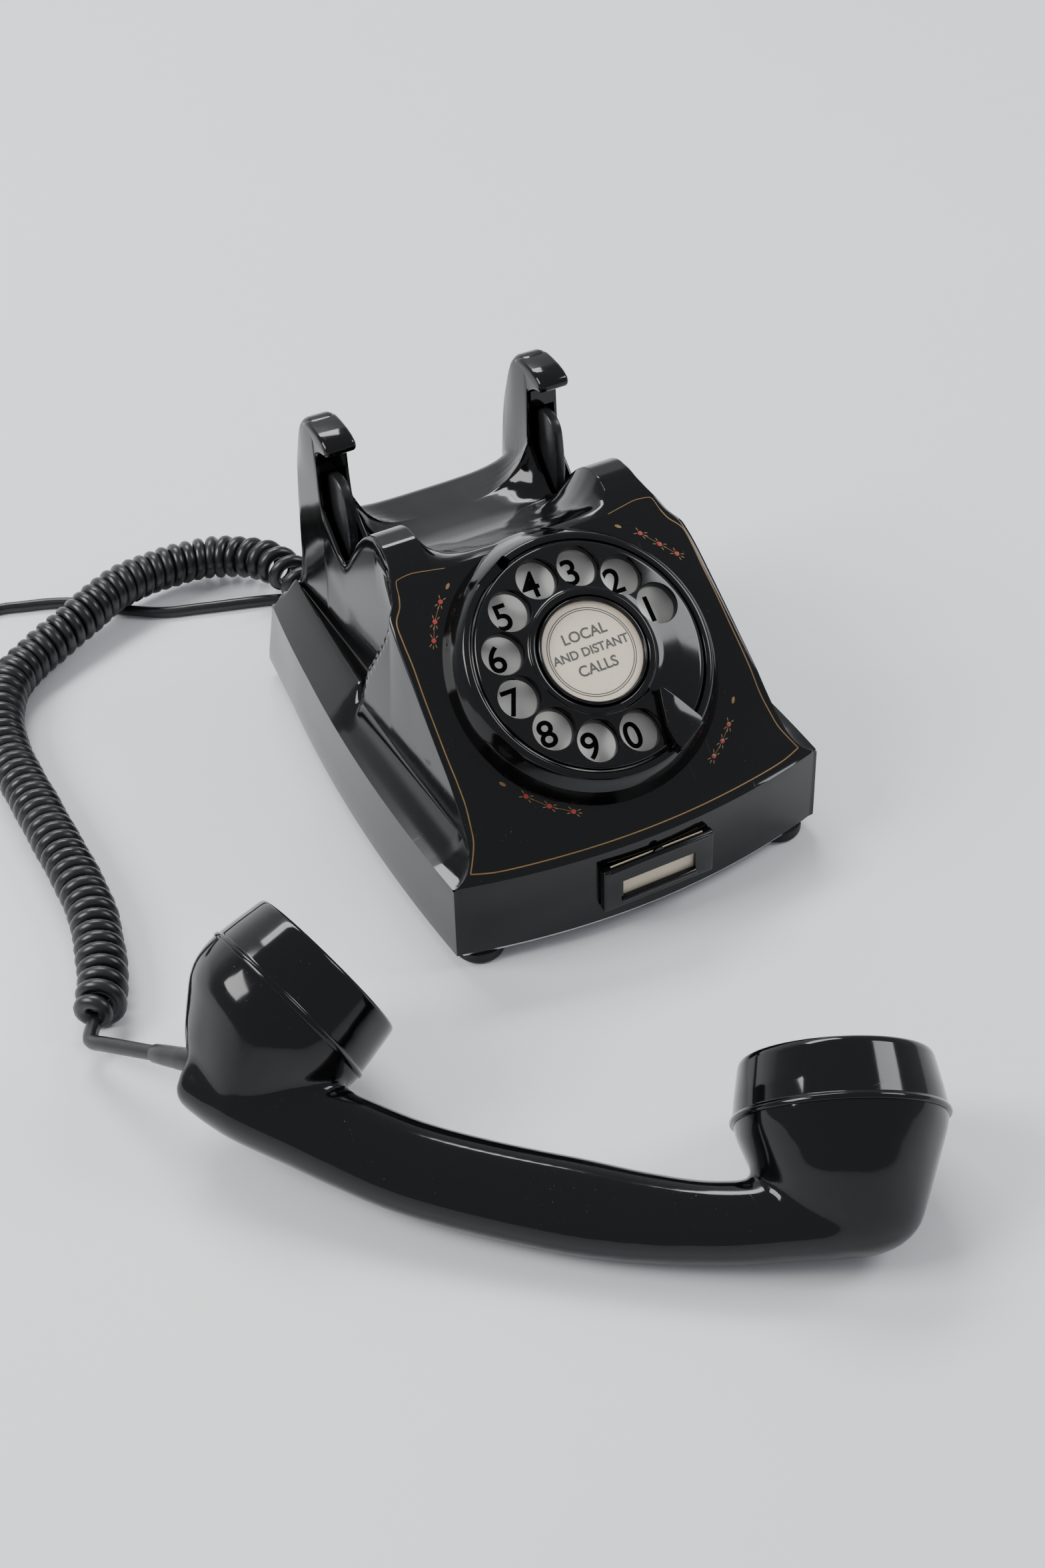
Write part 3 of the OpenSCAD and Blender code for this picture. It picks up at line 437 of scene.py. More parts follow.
label, nt, b = material("label_paper", (0.8, 0.7, 0.52), 0.5)
v = coords(nt)
spots = ramp(nt, noise(nt, v, 420, 4, 0.7), [(0.56, 0.0), (0.72, 1.0)])
aged = mixed(nt, noise(nt, v, 60, 4), (0.82, 0.71, 0.55), (0.74, 0.62, 0.45))
nt.links.new(mixed(nt, math_node(nt, "MULTIPLY", spots, 0.35), aged, (0.5, 0.34, 0.18)),
             b.inputs["Base Color"])
bump(nt, b, noise(nt, v, 1400, 3), 0.1, 0.00003)
MAT["label_paper"] = label


def wear(ob, body, slot, mat=None, replaces=()):
    ob.data.materials.clear()
    ob.data.materials.append(MAT[slot] if mat is None else mat)
    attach(ob, body)
    if replaces:
        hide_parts(*replaces)
    return ob


for sub in frame["record"]["subparts"]:
    ob = frame["nodes"][sub["node"]]
    ob.data.materials.clear()
    ob.data.materials.append(MAT[sub["material_slot"]])
    ob.data.shade_smooth()
    ob.data.set_sharp_from_angle(angle=radians(28))

# ------------------------------------------------------------------ camera
AZ, EL, ROLL = radians(-26.66), radians(40.84), radians(-2.33)
back = Vector((sin(AZ) * cos(EL), -cos(AZ) * cos(EL), sin(EL)))
right0 = Vector((cos(AZ), sin(AZ), 0))
up0 = back.cross(right0)
right = right0 * cos(ROLL) + up0 * sin(ROLL)
up = up0 * cos(ROLL) - right0 * sin(ROLL)
cam = bpy.data.objects.new("camera", bpy.data.cameras.new("camera"))
SCENE.collection.objects.link(cam)
cam.matrix_world = Matrix((
    (right.x, up.x, back.x, -0.2604),
    (right.y, up.y, back.y, -0.5168),
    (right.z, up.z, back.z, 0.4882),
    (0, 0, 0, 1)))
cam.data.sensor_width = 36
cam.data.lens = 48.77
cam.data.clip_start = 0.01
SCENE.camera = cam

# ------------------------------------------------------------------ cords
CURL = [(-30, 99, 13), (-31, 112, 13.4), (-33, 128, 13.6), (-38, 145, 12.4), (-53, 159, 10.8),
        (-73, 160, 12.2), (-95, 155, 13.4), (-115, 145, 11.5), (-134, 136, 9), (-147, 126, 8.6),
        (-155, 113, 8.6), (-160, 97, 8.6), (-162, 77, 8.6), (-162, 55, 8.6), (-162, 32, 8.6),
        (-162, 12, 8.6), (-163, -7, 8.6), (-166, -22, 8.6), (-170, -37, 8.6), (-175, -48, 8.6),
        (-179, -54, 8.8)]
SLEEVE = Vector((-163.7, -98.7, 27.4))
SLEEVE_DIR = Vector((-19.5, 39.7, -18.6)).normalized()
WIRE = 4.8
PITCH = 5.05
COIL_R = 8.45 - WIRE / 2

centre = spline(CURL, 24)
dist = [0.0]
for a, b2 in zip(centre, centre[1:]):
    dist.append(dist[-1] + (b2 - a).length)
total = dist[-1]


def centre_at(s):
    lo = 0
    hi = len(dist) - 1
    while hi - lo > 1:
        mid = (lo + hi) // 2
        if dist[mid] <= s:
            lo = mid
        else:
            hi = mid
    t = (s - dist[lo]) / (dist[hi] - dist[lo])
    return centre[lo].lerp(centre[hi], min(1, max(0, t))), (centre[hi] - centre[lo]).normalized()


# turns open out a little at the ends; pitch_at gives the pitch for a length along the cord
def pitch_at(s):
    return (PITCH + 4.6 * smooth((66 - s) / 50) + 0.35 * sin(s * 0.045)
            + 0.9 * smooth((s - total + 26) / 22))


wire = [Vector(CURL[0]), Vector(CURL[0]) + Vector((0, 3, -0.2)), Vector(CURL[0]) + Vector((0, 6, -0.5))]
s, phase, STEP = 9.0, 0.4, 22
while s < total - 1.5:
    p, t = centre_at(s)
    side = Vector((t.y, -t.x, 0)).normalized()
    over = side.cross(t)
    grow = smooth((s - 7) / 9) * smooth((total - s) / 7)
    r = COIL_R * grow * (1 + 0.018 * sin(s * 0.31))
    wire.append(p + r * (cos(phase) * side + sin(phase) * over))
    phase += 2 * pi / STEP
    s += pitch_at(s) / STEP
tail = [wire[-2], wire[-1]] + [Vector(p) for p in ((-181.6, -58.4, 9), (-182, -62, 9.8), (-179, -68.6, 13.2))]
end_point = SLEEVE + 14.3 * SLEEVE_DIR
tail += [end_point]
bits = spline(tail, 8)[8:]
wire = wire[:-1] + bits
smoothed = [wire[0]]
for a, c, d in zip(wire, wire[1:], wire[2:]):
    smoothed.append((a + 2 * c + d) / 4)
smoothed.append(wire[-1])
wire = smoothed
wire = [Vector((p.x, p.y, max(p.z, WIRE / 2 + 0.02))) for p in wire]
curly = tube("curly_cord", wire, WIRE / 2, 10)
curly.data.materials.append(MAT["cord_rubber"])
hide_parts("handset_cord")
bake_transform(curly)

LINE = [(-8, 97, 10.5), (-13, 110, 6.5), (-24, 122, 2.8), (-40, 132, 2.2), (-66, 141, 2.2),
        (-82, 147, 2.2), (-97, 159, 2.2), (-110, 171, 2.2), (-126, 178, 2.2), (-145, 182, 2.2)]
RINGS = [(28.2, 2.12), (24, 2.12), (19.8, 2.12), (19.8, 6.34), (24, 6.34), (28.2, 6.34),
         (28.2, 10.56), (24, 10.56), (19.8, 10.56)]
coil_at = Vector((-198, 214, 0))
begin = radians(-58)
wound = []
for k, (r, z) in enumerate(RINGS):
    nr, nz = RINGS[k + 1] if k < 8 else (19.8, 14.9)
    for q in range(48):
        f = q / 48
        rr = lerp(r, nr, smooth((f - 0.6) / 0.11))
        zz = lerp(z, nz, smooth((f - 0.76) / 0.12))
        a = begin + 2 * pi * f
        wound.append(coil_at + Vector((rr * cos(a), rr * sin(a), zz)))
a_in = begin
tangent = Vector((-sin(a_in), cos(a_in), 0))
lead = [Vector(p) for p in LINE] + [wound[0] - tangent * 20 + Vector((2.0, -0.6, 0.1)),
                                    wound[0] - tangent * 9]
line = spline(lead, 8) + wound
PLUG = Vector((-220.2, 235.3, 12.7))
pdir = Vector((cos(radians(130)), sin(radians(130)), 0))
out = [wound[-1]]
for k in range(1, 15):
    f = k / 14
    a = begin + 2 * pi * f * 0.44
    rr = lerp(19.8, 30.5, smooth((f - 0.45) / 0.5))
    out.append(coil_at + Vector((rr * cos(a), rr * sin(a), 14.95)))
out += [PLUG - pdir * 6 + Vector((0, 0, 0.6)), PLUG]
line += spline(out[1:], 3)
line_ob = tube("line_flex", line, 2.1, 12)
line_ob.data.materials.append(MAT["cord_rubber"])
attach(line_ob, "base")
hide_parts("line_cord", "line_coil")

# ------------------------------------------------------------------ housing skin
TOP = 34.7


def bow(s):
    return 0.0021 * (-60 - s) / 31 if s < -60 else 0.0


def side_x(y):
    return 69.1 - 0.00072 * (y + 38) ** 2


def side_x_top(y):
    return side_x(y) - lin(y, [(-82, 0.4), (-40, 0.9), (40, 1.6), (86, 1.2)])


def front_y(x):
    return -91 + 0.0021 * x * x


edge_x = curved([(-91, 66.2), (-88, 62.5), (-84, 59.7), (-80, 58.4), (-75, 57.6), (-68, 57), (-60, 56.6),
                 (-36, 55.4), (-17.5, 54), (-12.5, 50.8), (-7, 48.7), (0, 47.2), (9, 46.2), (20, 45.8),
                 (90, 45.7)])
edge_z = curved([(-91, TOP), (-88, 37), (-84, 40.3), (-80, 43.4), (-75, 47.2), (-68, 52.6), (-60, 59),
                 (-52, 65.5), (-22, 89.6), (-17.5, 92.6), (-12.5, 96), (-7, 99.7), (0, 103), (5, 104.4),
                 (9.5, 104.4), (14, 103), (18, 100.3), (22, 96.5), (26, 92), (30, 86.5), (34, 81),
                 (37, 78), (39, 77.2), (42, 78.5), (47, 83), (51, 87), (54, 92), (55, 119),
                 (58, 121.1), (61, 121.5), (64, 120.7), (66, 118.9), (68, 115), (70, 109.5), (72, 102),
                 (74, 91), (75.5, 79), (77, 65), (79.5, 52.5), (83, 43), (86, TOP)])
base_rear = [(54, 92), (55.5, 89), (58, 85.5), (61, 83), (64, 81.5), (68, 80), (70, 79), (72, 77.5),
             (74, 73.5), (75.5, 68), (77, 60), (79.5, 51.5), (83, 43), (86, TOP)]
mid_table = curved([(-9, 98.4), (-6, 98.6), (-3, 97.2), (0, 95.2), (6, 91.2), (13, 86.8), (21, 82.2),
                    (29, 78.6), (36, 76.4), (43, 75.2), (54, 74.6), (64, 75), (68, 75.2), (70, 74.8),
                    (72, 73.2), (74, 69.6), (75.5, 65), (77, 58.5), (79.5, 51), (83, 43), (86, TOP)])
rear_top = curved([(77, 60), (79.5, 51), (83, 43), (86, TOP)])


def base_z(s):
    return edge_z(s) if s < 54 else lin(s, base_rear)


def mid_z(s):
    return edge_z(s) if s < -9 else mid_table(s)


def recess(s):
    return smooth((s + 10) / 16)


def ledge(s):
    return smooth((s - 3) / 13)


def low_front_x(s):
    return 57.4 + max(0, edge_x(s) - 57)


def low_x(s):
    return lerp(low_front_x(s), 47.2, smooth((s - 6.5) / 6))


STEP_Y = [(43, 9.5), (48, 8), (63, 1.6), (92.6, -17.5)]


def wall_x(s, k, z):
    """Side wall from the cove (k = 0) to the upper edge (k = 1): a facet, then the pocket behind it."""
    e = edge_x(s)
    facet = lerp(low_front_x(s), edge_x(min(s, -17.5)), k)
    pocket = lerp(lerp(47.2, 46.2, smooth(k * 2)), max(e, 46.2) if s < 9 else 46.0, smooth((k - 0.6) / 0.4))
    return lerp(facet, pocket, smooth((s - lin(z, STEP_Y) + 2) / 4))


def low_z(s):
    return lerp(TOP + min(8.5, 0.62 * (edge_z(min(s, -40)) - TOP)), 43.5, ledge(s))


def ridge_x(s):
    return lerp(lerp(side_x_top(s), low_x(min(s, 5)), 0.72), lin(s, [(10, 54), (30, 52.5), (86, 47.5)]),
                ledge(s))


def ridge_z(s):
    return lerp(lerp(TOP, low_z(min(s, 5)), 0.4), 46, ledge(s))


def tail_z(s, z):
    return z if s < 77 else min(z, rear_top(s))


FRONT_X = [66.2, 66.0, 65.7, 65.3, 65.0, 64.7, 64.4, 64.1, 63.8, 63.5, 63.2, 62.9, 62.6, 62.3, 62.0,
           61.6, 56, 46, 37, 33, 28,
           22, 15, 7.5]
HX, HI = 45.7, 34.3


def half(s):
    if s <= -91:
        return [(x, TOP) for x in FRONT_X]
    e, ez, bz, m = edge_x(s), edge_z(s), base_z(s), mid_z(s)
    xo = side_x_top(s + bow(s) * 4380 if s < -60 else s)
    face = s < -9
    cap = 1.6 * smooth((s - 54) / 1.2) * (1 - smooth((s - 70) / 3))
    outer = lerp(e, HX, recess(s))
    top = min(ez - cap, 100 if s > 50 else 200)
    return [
        (xo, TOP),
        (lerp(xo, ridge_x(s), 0.5), tail_z(s, lerp(TOP, ridge_z(s), lerp(0.26, 0.5, ledge(s))))),
        (ridge_x(s), tail_z(s, ridge_z(s))),
        (low_x(s), tail_z(s, low_z(s))),
        *[(wall_x(s, k / 12, lerp(low_z(s), top, k / 12)), tail_z(s, lerp(low_z(s), top, k / 12)))
          for k in range(1, 12)],
        (outer, ez - cap),
        (lerp(outer, HI, 0.16), ez),
        (lerp(outer, HI, 0.84), ez),
        (HI, ez - cap),
        (HI - 0.6, bz),
        (30, lerp(m, bz, 1 if face else 0.55)),
        (25, lerp(m, bz, 1 if face else 0.24)),
        (19, lerp(m, bz, 1 if face else 0.07)),
        (9.5, m)]


marks = [-91, -90.5, -89.5]
x = -89.0
while x < 86:
    marks.append(x)
    x += 0.5 if 52 <= x < 78 else (0.7 if -24 < x < -4 or x > 30 else 1.1)
marks.append(86)


def section(s):
    h = half(s)
    y0 = s
    full = [(-px, y0 + bow(s) * px * px, pz) for px, pz in h] + [(0, y0, mid_z(s))] + \
           [(px, y0 + bow(s) * px * px, pz) for px, pz in reversed(h)]
    return rounded(full, 2.2, 3)


rows = [section(s) for s in marks]
m = len(rows[0])
n = len(rows)
verts = [p for r in rows for p in r]
faces = [(i * m + j, (i + 1) * m + j, (i + 1) * m + j + 1, i * m + j + 1)
         for i in range(n - 1) for j in range(m - 1)]
# boundary loop of the top skin, then the skirt below it and the underside
loop = [j for j in range(m)] + [i * m + m - 1 for i in range(1, n)] + \
       [(n - 1) * m + j for j in range(m - 2, -1, -1)] + [i * m for i in range(n - 2, 0, -1)]


def skirt_point(p, z):
    """A point on the skirt's outside at height z, below the rim point p."""
    t = (TOP - z) / (TOP - 5.8)
    if abs(p.y - 86) < 1e-6:
        y = lerp(86, 94, t)
        return Vector((p.x * lerp(1, side_x(94) / side_x_top(86), t), y, z))
    if p.y < -80 and abs(p.x) < 66.1:
        return Vector((p.x, front_y(p.x), z))
    sx = lerp(side_x_top(p.y), side_x(p.y), min(1, t * 1.2))
    return Vector((sx if p.x > 0 else -sx, p.y + max(0, p.y - 60) / 26 * 8 * t * smooth((p.y - 60) / 26), z))


levels = [TOP - 0.6, 30, 24, 17, 11, 7, 6.1, 5.8]
prev = loop
for z in levels:
    ring = []
    for idx in loop:
        q = skirt_point(verts[idx], z)
        if z < 6.5:
            q = Vector((q.x * (0.9995 if z > 5.9 else 0.994), q.y * (0.9995 if z > 5.9 else 0.994), z))
        ring.append(len(verts))
        verts.append(q)
    k = len(loop)
    faces += [(prev[i], ring[i], ring[(i + 1) % k], prev[(i + 1) % k]) for i in range(k)]
    prev = ring
faces.append(tuple(reversed(prev)))
housing = make("housing_skin", verts, faces, angle=38)
tools = []
for sgn in (-1, 1):
    t = prism("slot_tool", [(50, 112.6), (62, 112.6), (65.5, 104), (66.5, 92), (64, 80), (61, 54), (40.5, 54),
                            (39.4, 82), (50, 88)], sgn * 40 - 4.7, sgn * 40 + 4.7, ease=0.3)
    tools.append(t)
cut(housing, tools)
wear(housing, "base", "bakelite", replaces=("housing",))

# hooked tips over the horns
tip_line = [(64, 119.9), (60, 121.3), (56, 121.3), (51, 120.9), (47.4, 120), (45, 118.6), (44.3, 117),
            (44.6, 115.6),
            (45.6, 114.8), (48.5, 114.2), (51, 113.2), (53.4, 111.6), (56, 108), (64, 108)]
eased = [tuple(p)[:2] for p in rounded([(a, b2, 0) for a, b2 in tip_line], 1.2, 3)]
for sgn, word in ((-1, "left"), (1, "right")):
    tip = prism("hook_tip_" + word, eased, sgn * 40 - 5.7, sgn * 40 + 5.7, ease=1.5, steps=4)
    wear(tip, "base", "bakelite")

# collar round the dial, with its cove
collar = lathe("dial_collar",
               [(38.6, -8.4), (38.6, -1.7), (39.2, -1.05), (40.4, -1.0), (41.2, -1.3), (42, -2.3),
                               (42.9, -3.7), (44.2, -6), (45.4, -8.6), (46.8, -11.6), (48.6, -14.5),
                               (38.6, -14.5)],
               160, DIAL, ease=0.5, close=True)
seats = []
for a in (-62, 118):
    seats.append(box("seat_tool", (36, -6.6, -5.6), (41.3, 6.6, 3), 0.0, DIAL @ rot("Z", a)))
cut(collar, seats)
wear(collar, "base", "bakelite")

# ------------------------------------------------------------------ dial
wheel = lathe("wheel", [(4, -3), (12, -3.4), (37.0, -3.6), (37.8, -3.2), (38.1, -2.2), (38.1, -1.2),
                        (37.7, -0.4),
                        (36.6, 0), (30, 0.5), (23.6, 0.9), (21.8, 1.3), (21.0, 1.8), (20.7, 2.5), (19.2, 2.5),
                        (18.4, 1.8), (18.2, 0.2), (4, 0.2)], 180, None, ease=0.6, close=True)
holes = []
for k in range(10):
    a = 16.2 + 29.2 * k
    holes.append(lathe("hole", [(0, -9), (6.8, -9), (6.8, -0.3), (7.0, 0.2), (7.2, 0.6), (7.2, 4),
                                (0, 4)], 64,
                       rot("Z", a) @ at(29.1, 0, 0)))
for tool in holes:
    cut(wheel, [tool])
wheel.data.transform(DIAL)
wear(wheel, "finger_wheel", "bakelite", replaces=("finger_wheel",))

ring = lathe("label_bezel",
             [(17.6, 0.3), (18.15, 0.3), (18.1, 2.2), (17.7, 2.7), (17.2, 2.75), (16.8, 2.2), (16.7, 1.3),
                             (17.6, 1.3)], 128, DIAL, ease=0.2, close=True)
wear(ring, "finger_wheel", "bakelite", replaces=("label_ring",))
paper = lathe("label_face", [(0, 0.62), (17.6, 0.62), (17.6, 0.2), (0, 0.2)], 96, DIAL)
wear(paper, "finger_wheel", "card_paper", MAT["label_paper"], ("label_card",))

plate = lathe("number_face", [(6, -7.2), (37.2, -7.2), (37.8, -7.5), (37.8, -8), (6, -8)], 128, DIAL,
              close=True)
wear(plate, "base", "enamel_white", replaces=("number_plate",))


def words(name, text, size, matrix, body, mat, depth=0.12, heavy=0.0001):
    cu = bpy.data.curves.new(name, "FONT")
    cu.body = text
    cu.size = size * MM
    cu.align_x, cu.align_y = "CENTER", "CENTER"
    cu.extrude = depth * MM
    cu.offset = heavy
    tmp = bpy.data.objects.new(name, cu)
    SCENE.collection.objects.link(tmp)
    dg = bpy.context.evaluated_depsgraph_get()
    me = bpy.data.meshes.new_from_object(tmp.evaluated_get(dg))
    bpy.data.objects.remove(tmp)
    me.transform(matrix)
    ob = bpy.data.objects.new(name, me)
    SCENE.collection.objects.link(ob)
    me.materials.clear()
    me.materials.append(mat)
    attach(ob, body)
    return ob


for k, text in enumerate("1234567890"):
    a = radians(16.2 + 29.2 * k)
    words("numeral_" + text, text, 12.4, DIAL @ at(29.1 * cos(a), 29.1 * sin(a), -7.15), "base", ink,
          0.05, 0.00016)
words("label_line_1", "LOCAL", 5.0, DIAL @ at(0, 6.2, 0.66), "finger_wheel", ink, 0.03)
words("label_line_2", "AND DISTANT", 4.1, DIAL @ at(0, 0.6, 0.66), "finger_wheel", ink, 0.03)
words("label_line_3", "CALLS", 5.0, DIAL @ at(0, -5.2, 0.66), "finger_wheel", ink, 0.03)
for rr, nm in ((14.6, "outer"), (13.9, "inner")):
    wear(lathe("label_rule_" + nm, [(rr, 0.6), (rr, 0.68), (rr + 0.3, 0.68), (rr + 0.3, 0.6)], 96, DIAL,
               close=True),
         "finger_wheel", "", ink)

blade = [(23.6, 4.4), (24.4, 5.4), (30, 5.9), (39.6, 6.2), (40.9, 5.2), (40.9, -6.4), (38.5, -6.4),
         (36, -5.4), (33, -3.6),
         (28, 0.4)]
eased = rounded([(a, b2, 0) for a, b2 in blade + blade[:1]], 0.6, 3)[1:]
bm = bmesh.new()
vs = [bm.verts.new(Vector((p.x, p.y, 1.3)) * MM) for p in eased]
f = bm.faces.new(vs)
ext = bmesh.ops.extrude_face_region(bm, geom=[f])
bmesh.ops.translate(bm, verts=[g for g in ext["geom"] if isinstance(g, bmesh.types.BMVert)],
                    vec=(0, 0, 2.4 * MM))
bmesh.ops.recalc_face_normals(bm, faces=bm.faces)
bmesh.ops.remove_doubles(bm, verts=bm.verts, dist=1e-6)
me = bpy.data.meshes.new("stop")
bm.to_mesh(me)
bm.free()
stop = bpy.data.objects.new("stop_blade", me)
SCENE.collection.objects.link(stop)
bev = stop.modifiers.new("b", "BEVEL")
bev.width, bev.segments, bev.limit_method = 0.0005, 3, "ANGLE"
stop.data = bpy.data.meshes.new_from_object(stop.evaluated_get(bpy.context.evaluated_depsgraph_get()))
stop.modifiers.clear()
root = box("stop_root", (38.75, -6.4, -5.6), (41.6, 6.0, 2.4), 0.5)
stop = join("finger_stop_piece", [stop, root])
stop.data.transform(DIAL @ rot("Z", -62))
wear(stop, "base", "bakelite", replaces=("finger_stop",))

# ------------------------------------------------------------------ pinstripe and sprays
STRIPE = [(47.9, -12.9, 97.3), (49.3, -16.2, 95.4), (52.4, -20.3, 93.1), (53, -26, 89.3),
          (53.1, -32.3, 84.9), (53.7, -40.6, 78),
          (54, -49, 72), (54.3, -57.4, 65), (54.3, -63.6, 59.7), (54.4, -68.4, 55.3),
          (55.3, -72.9, 49.8), (56.1, -75.5, 46.1),
          (57.8, -77.6, 42.2), (60.6, -80.3, 37.2)]
bpy.context.view_layer.update()
dg = bpy.context.evaluated_depsgraph_get()
skin = housing.evaluated_get(dg)


def on_skin(p, normal=Vector((0, -0.6, 0.8))):
    """Nearest point of the housing's outside, and its normal."""
    q = Vector(p) * MM
    ok, hit, nrm, _ = skin.ray_cast(q + normal * 0.02, -normal, distance=0.05)
    if not ok:
        ok, hit, nrm, _ = skin.closest_point_on_mesh(q)
    return hit / MM, nrm


def ribbon(name, pts, width, mat, lift=0.05, steps=6):
    line_pts = spline(pts, steps)
    rows2 = []
    nn = len(line_pts)
    for i, p in enumerate(line_pts):
        q, nrm = on_skin(p)
        t = (line_pts[min(nn - 1, i + 1)] - line_pts[max(0, i - 1)]).normalized()
        side = nrm.cross(t).normalized() * (width(i / (nn - 1)) if callable(width) else width) / 2
        rows2.append([q - side - nrm * 0.03, q - side * 0.8 + nrm * lift, q + side * 0.8 + nrm * lift,
                      q + side - nrm * 0.03])
    ob = grid(name, rows2, angle=60)
    ob.data.materials.append(mat)
    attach(ob, "base")
    return ob


for sgn, word in ((-1, "left"), (1, "right")):
    ribbon("pinstripe_" + word, [(sgn * a, b2, c) for a, b2, c in STRIPE], 0.45, gold)
front_line = ([(-60.6, -80.3, 37.2)]
              + [(x, front_y(x) + 3.2 - 0.4, 36) for x in (-52, -36, -18, 0, 18, 36, 52)]
              + [(60.6, -80.3, 37.2)])
ribbon("pinstripe_front", front_line, 0.45, gold, steps=10)
for sgn, word in ((-1, "left"), (1, "right")):
    ribbon("pinstripe_top_" + word, [(sgn * a, b2, c) for a, b2, c in (
        (47.9, -12.9, 97.3), (47, -9.4, 99.8), (45.4, -8.6, 100.4), (41, -8.2, 100.6),
        (36, -8.8, 100.2), (30, -9.6, 99.6))], 0.3, gold)
SPRAYS = {
    "upper_left": [(-31.6, -14.2, 95.7), (-36, -17.4, 93.1), (-40.5, -21.8, 89.5), (-43.4, -26.3, 85.9)],
    "upper_right": [(31.4, -13.4, 96.3), (37.6, -17, 93.4), (42.2, -21.4, 89.9), (46.5, -25.3, 86.7)],
    "lower_left": [(-40.6, -65.2, 54.4), (-35, -70, 50.5), (-29.1, -74.3, 47), (-22.4, -77.7, 44.3)],
    "lower_right": [(44.3, -65.5, 54.1), (39.4, -71, 49.7), (34.8, -74.4, 46.9), (29.8, -77.2, 44.6)]}


def blob(pts3, name, mat, body="base"):
    verts2 = []
    faces2 = []
    for q, nrm, u, w, h in pts3:
        base_i = len(verts2)
        vdir = nrm.cross(u).normalized()
        verts2.append(q + nrm * h)
        for k in range(14):
            a = 2 * pi * k / 14
            verts2.append(q + u * w[0] * cos(a) + vdir * w[1] * sin(a) - nrm * 0.05)
        faces2 += [(base_i, base_i + 1 + k, base_i + 1 + (k + 1) % 14) for k in range(14)]
    ob = make(name, verts2, faces2, angle=80)
    ob.data.materials.append(mat)
    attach(ob, body)
    return ob


for word, pts in SPRAYS.items():
    ribbon("stem_" + word, pts[1:], lambda t: 0.16, gold, 0.04)
    berries, leaves = [], []
    nn = len(pts)
    for i, p in enumerate(pts):
        q, nrm = on_skin(p)
        t = (Vector(pts[min(nn - 1, i + 1)]) - Vector(pts[max(0, i - 1)])).normalized()
        t = (t - nrm * t.dot(nrm)).normalized()
        sd = nrm.cross(t)
        if i == 0:
            leaves.append((q, nrm, t, (1.7, 0.75), 0.12))
            continue
        berries.append((q, nrm, t, (1.15, 1.05), 0.14))
        for turn2, reach in ((0.5, 1.9), (-0.5, 1.9), (2.6, 1.7), (-2.6, 1.7), (0.0, 2.2)):
            u = (t * cos(turn2) + sd * sin(turn2)).normalized()
            q2, n2 = on_skin(q + u * reach)
            leaves.append((q2, n2, (u - n2 * u.dot(n2)).normalized(), (1.15, 0.26), 0.07))
    blob(berries, "berries_" + word, red)
    blob(leaves, "leaves_" + word, gold)

# ------------------------------------------------------------------ card holder
holder = box("holder_frame", (-20.3, -93.6, 12.2), (20.3, -90.3, 29.2), 0.7)
cut(holder, [box("t1", (-13.5, -97, 16), (13.5, -89, 23), 0.0),
             box("t2", (-17.5, -92.15, 13.4), (17.5, -91.3, 33.4), 0.0)])
sill = box("sill", (-14.0, -94.6, 14.4), (14.0, -93.0, 16.2), 0.75)
lip = box("lip", (-18.6, -94.1, 27.2), (18.6, -92.9, 28.9), 0.55)
thumb = lathe("thumb", [(0, -0.5), (1.9, -0.5), (1.9, 0.5), (0, 0.5)], 40,
              at(0, -92.5, 28.9) @ rot("X", 90), close=True)
holder = join("card_holder", [holder, sill, lip, thumb])
wear(holder, "base", "bakelite", replaces=("card_frame",))
slip = box("number_card", (-17, -91.7, 13.5), (17, -91.35, 29.15), 0.0)
wear(slip, "card", "card_paper", replaces=("card",))

# ------------------------------------------------------------------ handset
HP = [(-146, 34), (-143.4, 33), (-135, 30), (-125, 26), (-111, 20), (-97, 13.4), (-80, 6.2), (-60, 0.4),
      (-36, -5), (-14, -9),
      (5, -10.8), (22, -10.4), (38, -9)]
HA = [6.4, 8.6, 11.4, 13, 13.4, 13.4, 13.45, 13.5, 13.6, 12.6, 11.6, 11.6, 12.5]
HB = [6.4, 8.4, 11, 12.6, 12.4, 11.8, 11, 10.8, 10.6, 10.4, 10.6, 11.4, 12.4]
cl = spline([(a, b2, 0) for a, b2 in HP], 10)
fa = curved(list(enumerate(HA)))
fb = curved(list(enumerate(HB)))
rows = []
for i, c in enumerate(cl):
    u = (cl[min(len(cl) - 1, i + 1)] - cl[max(0, i - 1)]).normalized()
    a_, b_ = fa(i / 10), fb(i / 10)
    ring_pts = []
    for k in range(40):
        t = 2 * pi * k / 40
        ct, st = cos(t), sin(t)
        e = 0.88
        cx = abs(ct) ** e * (1 if ct >= 0 else -1)
        sx = abs(st) ** e * (1 if st >= 0 else -1)
        ring_pts.append((c.x - u.y * a_ * cx, c.y + u.x * a_ * cx, b_ * sx))
    rows.append(ring_pts)
bar = grid("bar", rows, close_v=True, caps=True)


def hull_of(name, parts):
    bm2 = bmesh.new()
    for pts2 in parts:
        for p in pts2:
            bm2.verts.new(p)
    res = bmesh.ops.convex_hull(bm2, input=bm2.verts)
    drop = [g for g in res["geom_interior"] if isinstance(g, bmesh.types.BMVert)] + \
           [g for g in res["geom_unused"] if isinstance(g, bmesh.types.BMVert)]
    bmesh.ops.delete(bm2, geom=list(set(drop)), context="VERTS")
    me2 = bpy.data.meshes.new(name)
    bm2.to_mesh(me2)
    bm2.free()
    ob = bpy.data.objects.new(name, me2)
    SCENE.collection.objects.link(ob)
    return ob


def disc(matrix, z, r, k=72):
    return [matrix @ (Vector((r * cos(2 * pi * i / k), r * sin(2 * pi * i / k), z)) * MM) for i in range(k)]


